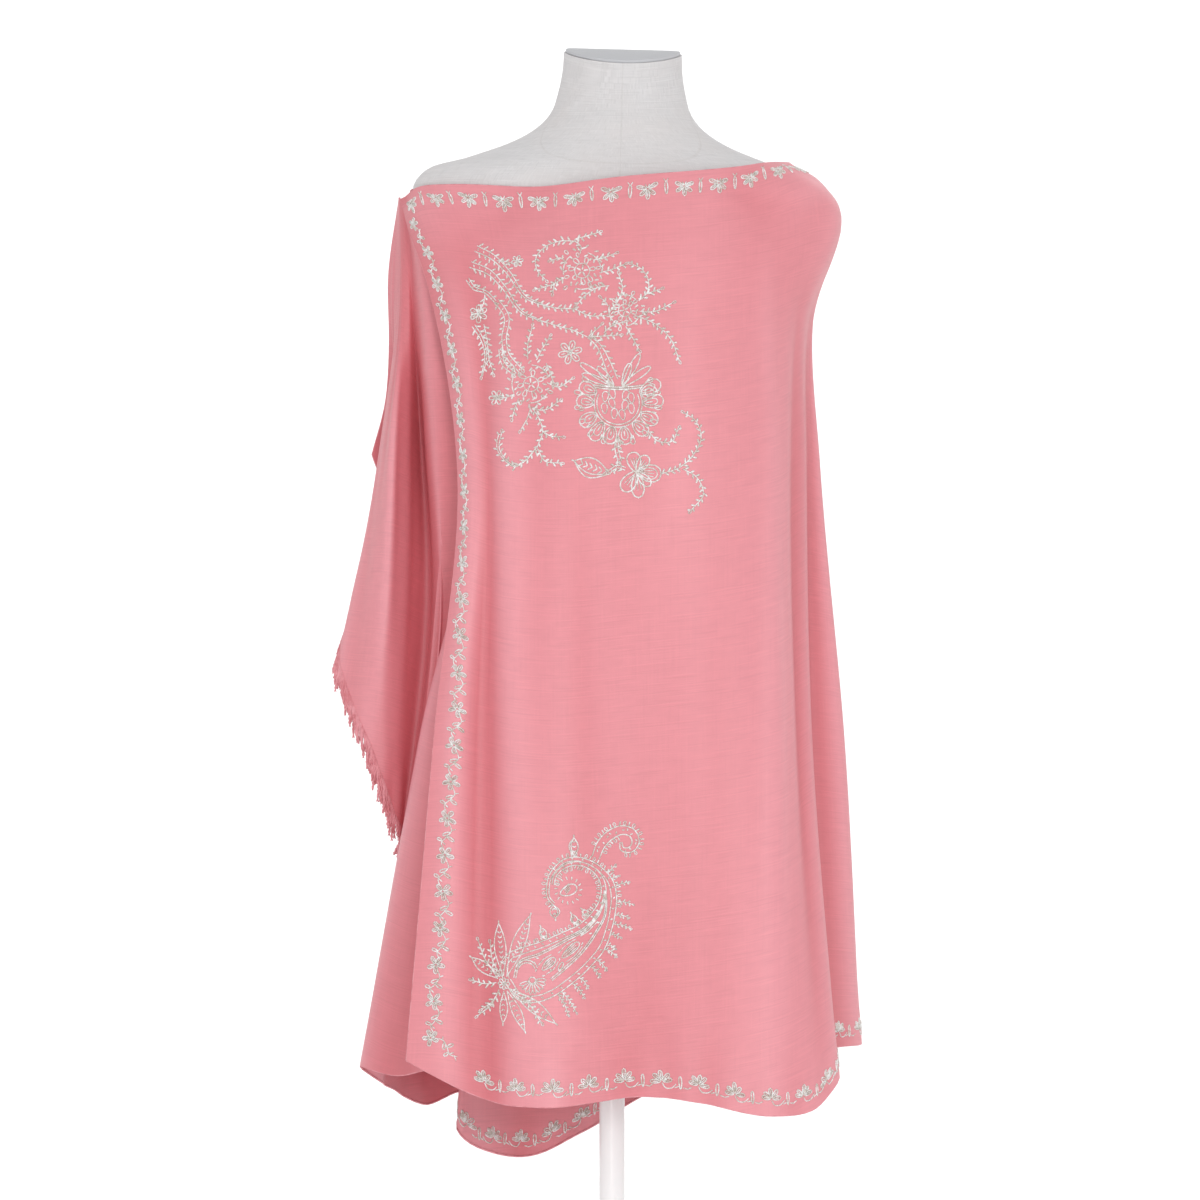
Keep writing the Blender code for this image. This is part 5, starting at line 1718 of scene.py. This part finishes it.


# ---- operator: the studio ----
# the floor and sweep reach more than 5.6 m from the object on every side
FLOOR_FRONT, FLOOR_BACK, WALL_TOP, SWEEP_RADIUS, ROOM_HALF_WIDTH = -8.0, 4.6, 9.0, 3.0, 8.0
SWEEP_STEPS = 14
PAPER_SHADES = ((0.92, 0.92, 0.92), (0.94, 0.94, 0.94))
CAMERA_PLACE = (-0.0114, -3.7, 0.989)
# place, what it looks at, size; a fill light also has its share of the power
KEY_LIGHT = ((1.0, -4.1, 1.7), (0.0, 0.0, 1.0), 1.0)
FILL_LIGHTS = (((-2.6, -2.8, 1.3), (0.0, 0.0, 1.0), 1.3, 0.15),
               ((-0.4, -4.2, 0.25), (-0.1, 0.0, 0.6), 0.9, 0.5))
BACKDROP_LIGHTS = (((-2.8, 3.4, 4.2), (0.3, 6.6, 0.9), 2.0), ((2.8, 3.4, 4.2), (-0.3, 6.6, 0.9), 2.0))


class SHAWL_OT_studio(bpy.types.Operator):
    """Pale sweep, soft lights and the camera"""
    bl_idname = "shawl.studio"
    bl_label = "Studio"

    def execute(self, context):
        studio = context.scene.shawl_studio
        self.sweep()
        self.light("key_light", KEY_LIGHT, studio.key)
        for index, (*place, share) in enumerate(FILL_LIGHTS):
            self.light(f"fill_light_{index + 1}", place, studio.fill * share)
        for index, place in enumerate(BACKDROP_LIGHTS):
            self.light(f"backdrop_light_{index + 1}", place, studio.backdrop)
        world = bpy.data.worlds.new("soft_room")
        world.use_nodes = True
        world.node_tree.nodes["Background"].inputs["Color"].default_value = (1, 1, 1, 1)
        world.node_tree.nodes["Background"].inputs["Strength"].default_value = studio.room
        context.scene.world = world
        deselect_all()
        bpy.ops.object.camera_add(location=CAMERA_PLACE, rotation=(math.pi / 2, 0, 0))
        camera = context.object
        camera.name = "camera"
        camera.data.lens = studio.focal
        camera.data.sensor_width = 36
        context.scene.camera = camera
        context.scene.view_settings.view_transform = "Standard"
        return {"FINISHED"}

    @staticmethod
    def light(name, place, power):
        location, target, size = place
        deselect_all()
        bpy.ops.object.light_add(type="AREA", location=location)
        lamp = bpy.context.object
        lamp.name = name
        lamp.rotation_euler = (Vector(target) - Vector(location)).to_track_quat("-Z", "Y").to_euler()
        lamp.data.size = size
        lamp.data.energy = power
        lamp.visible_camera = False

    @staticmethod
    def sweep():
        """Floor that curves up into the backdrop: the plane's back edge is extruded along the curve."""
        deselect_all()
        depth = FLOOR_BACK - FLOOR_FRONT
        bpy.ops.mesh.primitive_plane_add(size=1, location=(0, (FLOOR_BACK + FLOOR_FRONT) / 2, -0.0005))
        sweep = bpy.context.object
        sweep.name = "studio_sweep"
        sweep.scale = (2 * ROOM_HALF_WIDTH, depth, 1)
        bpy.ops.object.transform_apply(location=True, rotation=True, scale=True)
        bpy.ops.object.mode_set(mode="EDIT")
        bpy.ops.mesh.select_mode(type="EDGE")
        bpy.ops.mesh.select_all(action="DESELECT")
        bpy.ops.object.mode_set(mode="OBJECT")
        corners = sweep.data.vertices
        for edge in sweep.data.edges:
            edge.select = all(corners[index].co.y > FLOOR_BACK - 0.01 for index in edge.vertices)
        bpy.ops.object.mode_set(mode="EDIT")
        for step in range(SWEEP_STEPS):
            before, after = (math.pi / 2 * (step + offset) / SWEEP_STEPS for offset in (0, 1))
            move = (0, SWEEP_RADIUS * (math.sin(after) - math.sin(before)),
                    SWEEP_RADIUS * (math.cos(before) - math.cos(after)))
            bpy.ops.mesh.extrude_region_move(TRANSFORM_OT_translate={"value": move})
        bpy.ops.mesh.extrude_region_move(TRANSFORM_OT_translate={"value": (0, 0, WALL_TOP - SWEEP_RADIUS)})
        bpy.ops.object.mode_set(mode="OBJECT")
        bpy.ops.object.shade_smooth()
        material, nodes, shader = new_material("studio_paper", 0.9)
        nodes.feed(shader["Base Color"], nodes.blend(nodes.handled(0.8), *PAPER_SHADES))
        sweep.data.materials.append(material)


class SHAWL_PT_panel(bpy.types.Panel):
    """Lists the settings and the pieces in the order in which they are built"""
    bl_idname = "SHAWL_PT_panel"
    bl_label = "Shawl on dress form"
    bl_space_type = "VIEW_3D"
    bl_region_type = "UI"
    bl_category = "Shawl"

    def draw(self, context):
        scene = context.scene
        for group in (scene.shawl_sizes, scene.shawl_colours, scene.shawl_studio):
            box = self.layout.box()
            for name in group.__annotations__:
                box.prop(group, name)
        column = self.layout.column(align=True)
        for operator in PIECES:
            column.operator(operator.bl_idname)


SETTINGS = (("shawl_sizes", ShawlSizes), ("shawl_colours", ShawlColours), ("shawl_studio", StudioSettings))
PIECES = (SHAWL_OT_torso, SHAWL_OT_neck_cap, SHAWL_OT_stand, SHAWL_OT_wrap, SHAWL_OT_far_end,
          SHAWL_OT_edges, SHAWL_OT_fringe, SHAWL_OT_borders, SHAWL_OT_front_motifs, SHAWL_OT_declare,
          SHAWL_OT_studio)


def register():
    for cls in [group for _, group in SETTINGS] + list(PIECES) + [SHAWL_PT_panel]:
        bpy.utils.register_class(cls)
    for name, group in SETTINGS:
        setattr(bpy.types.Scene, name, PointerProperty(type=group))


def unregister():
    for name, _ in SETTINGS:
        delattr(bpy.types.Scene, name)
    for cls in [SHAWL_PT_panel] + list(PIECES)[::-1] + [group for _, group in SETTINGS][::-1]:
        bpy.utils.unregister_class(cls)


def main():
    register()
    for operator in PIECES:
        family, name = operator.bl_idname.split(".")
        getattr(getattr(bpy.ops, family), name)()


if __name__ == "__main__":
    main()
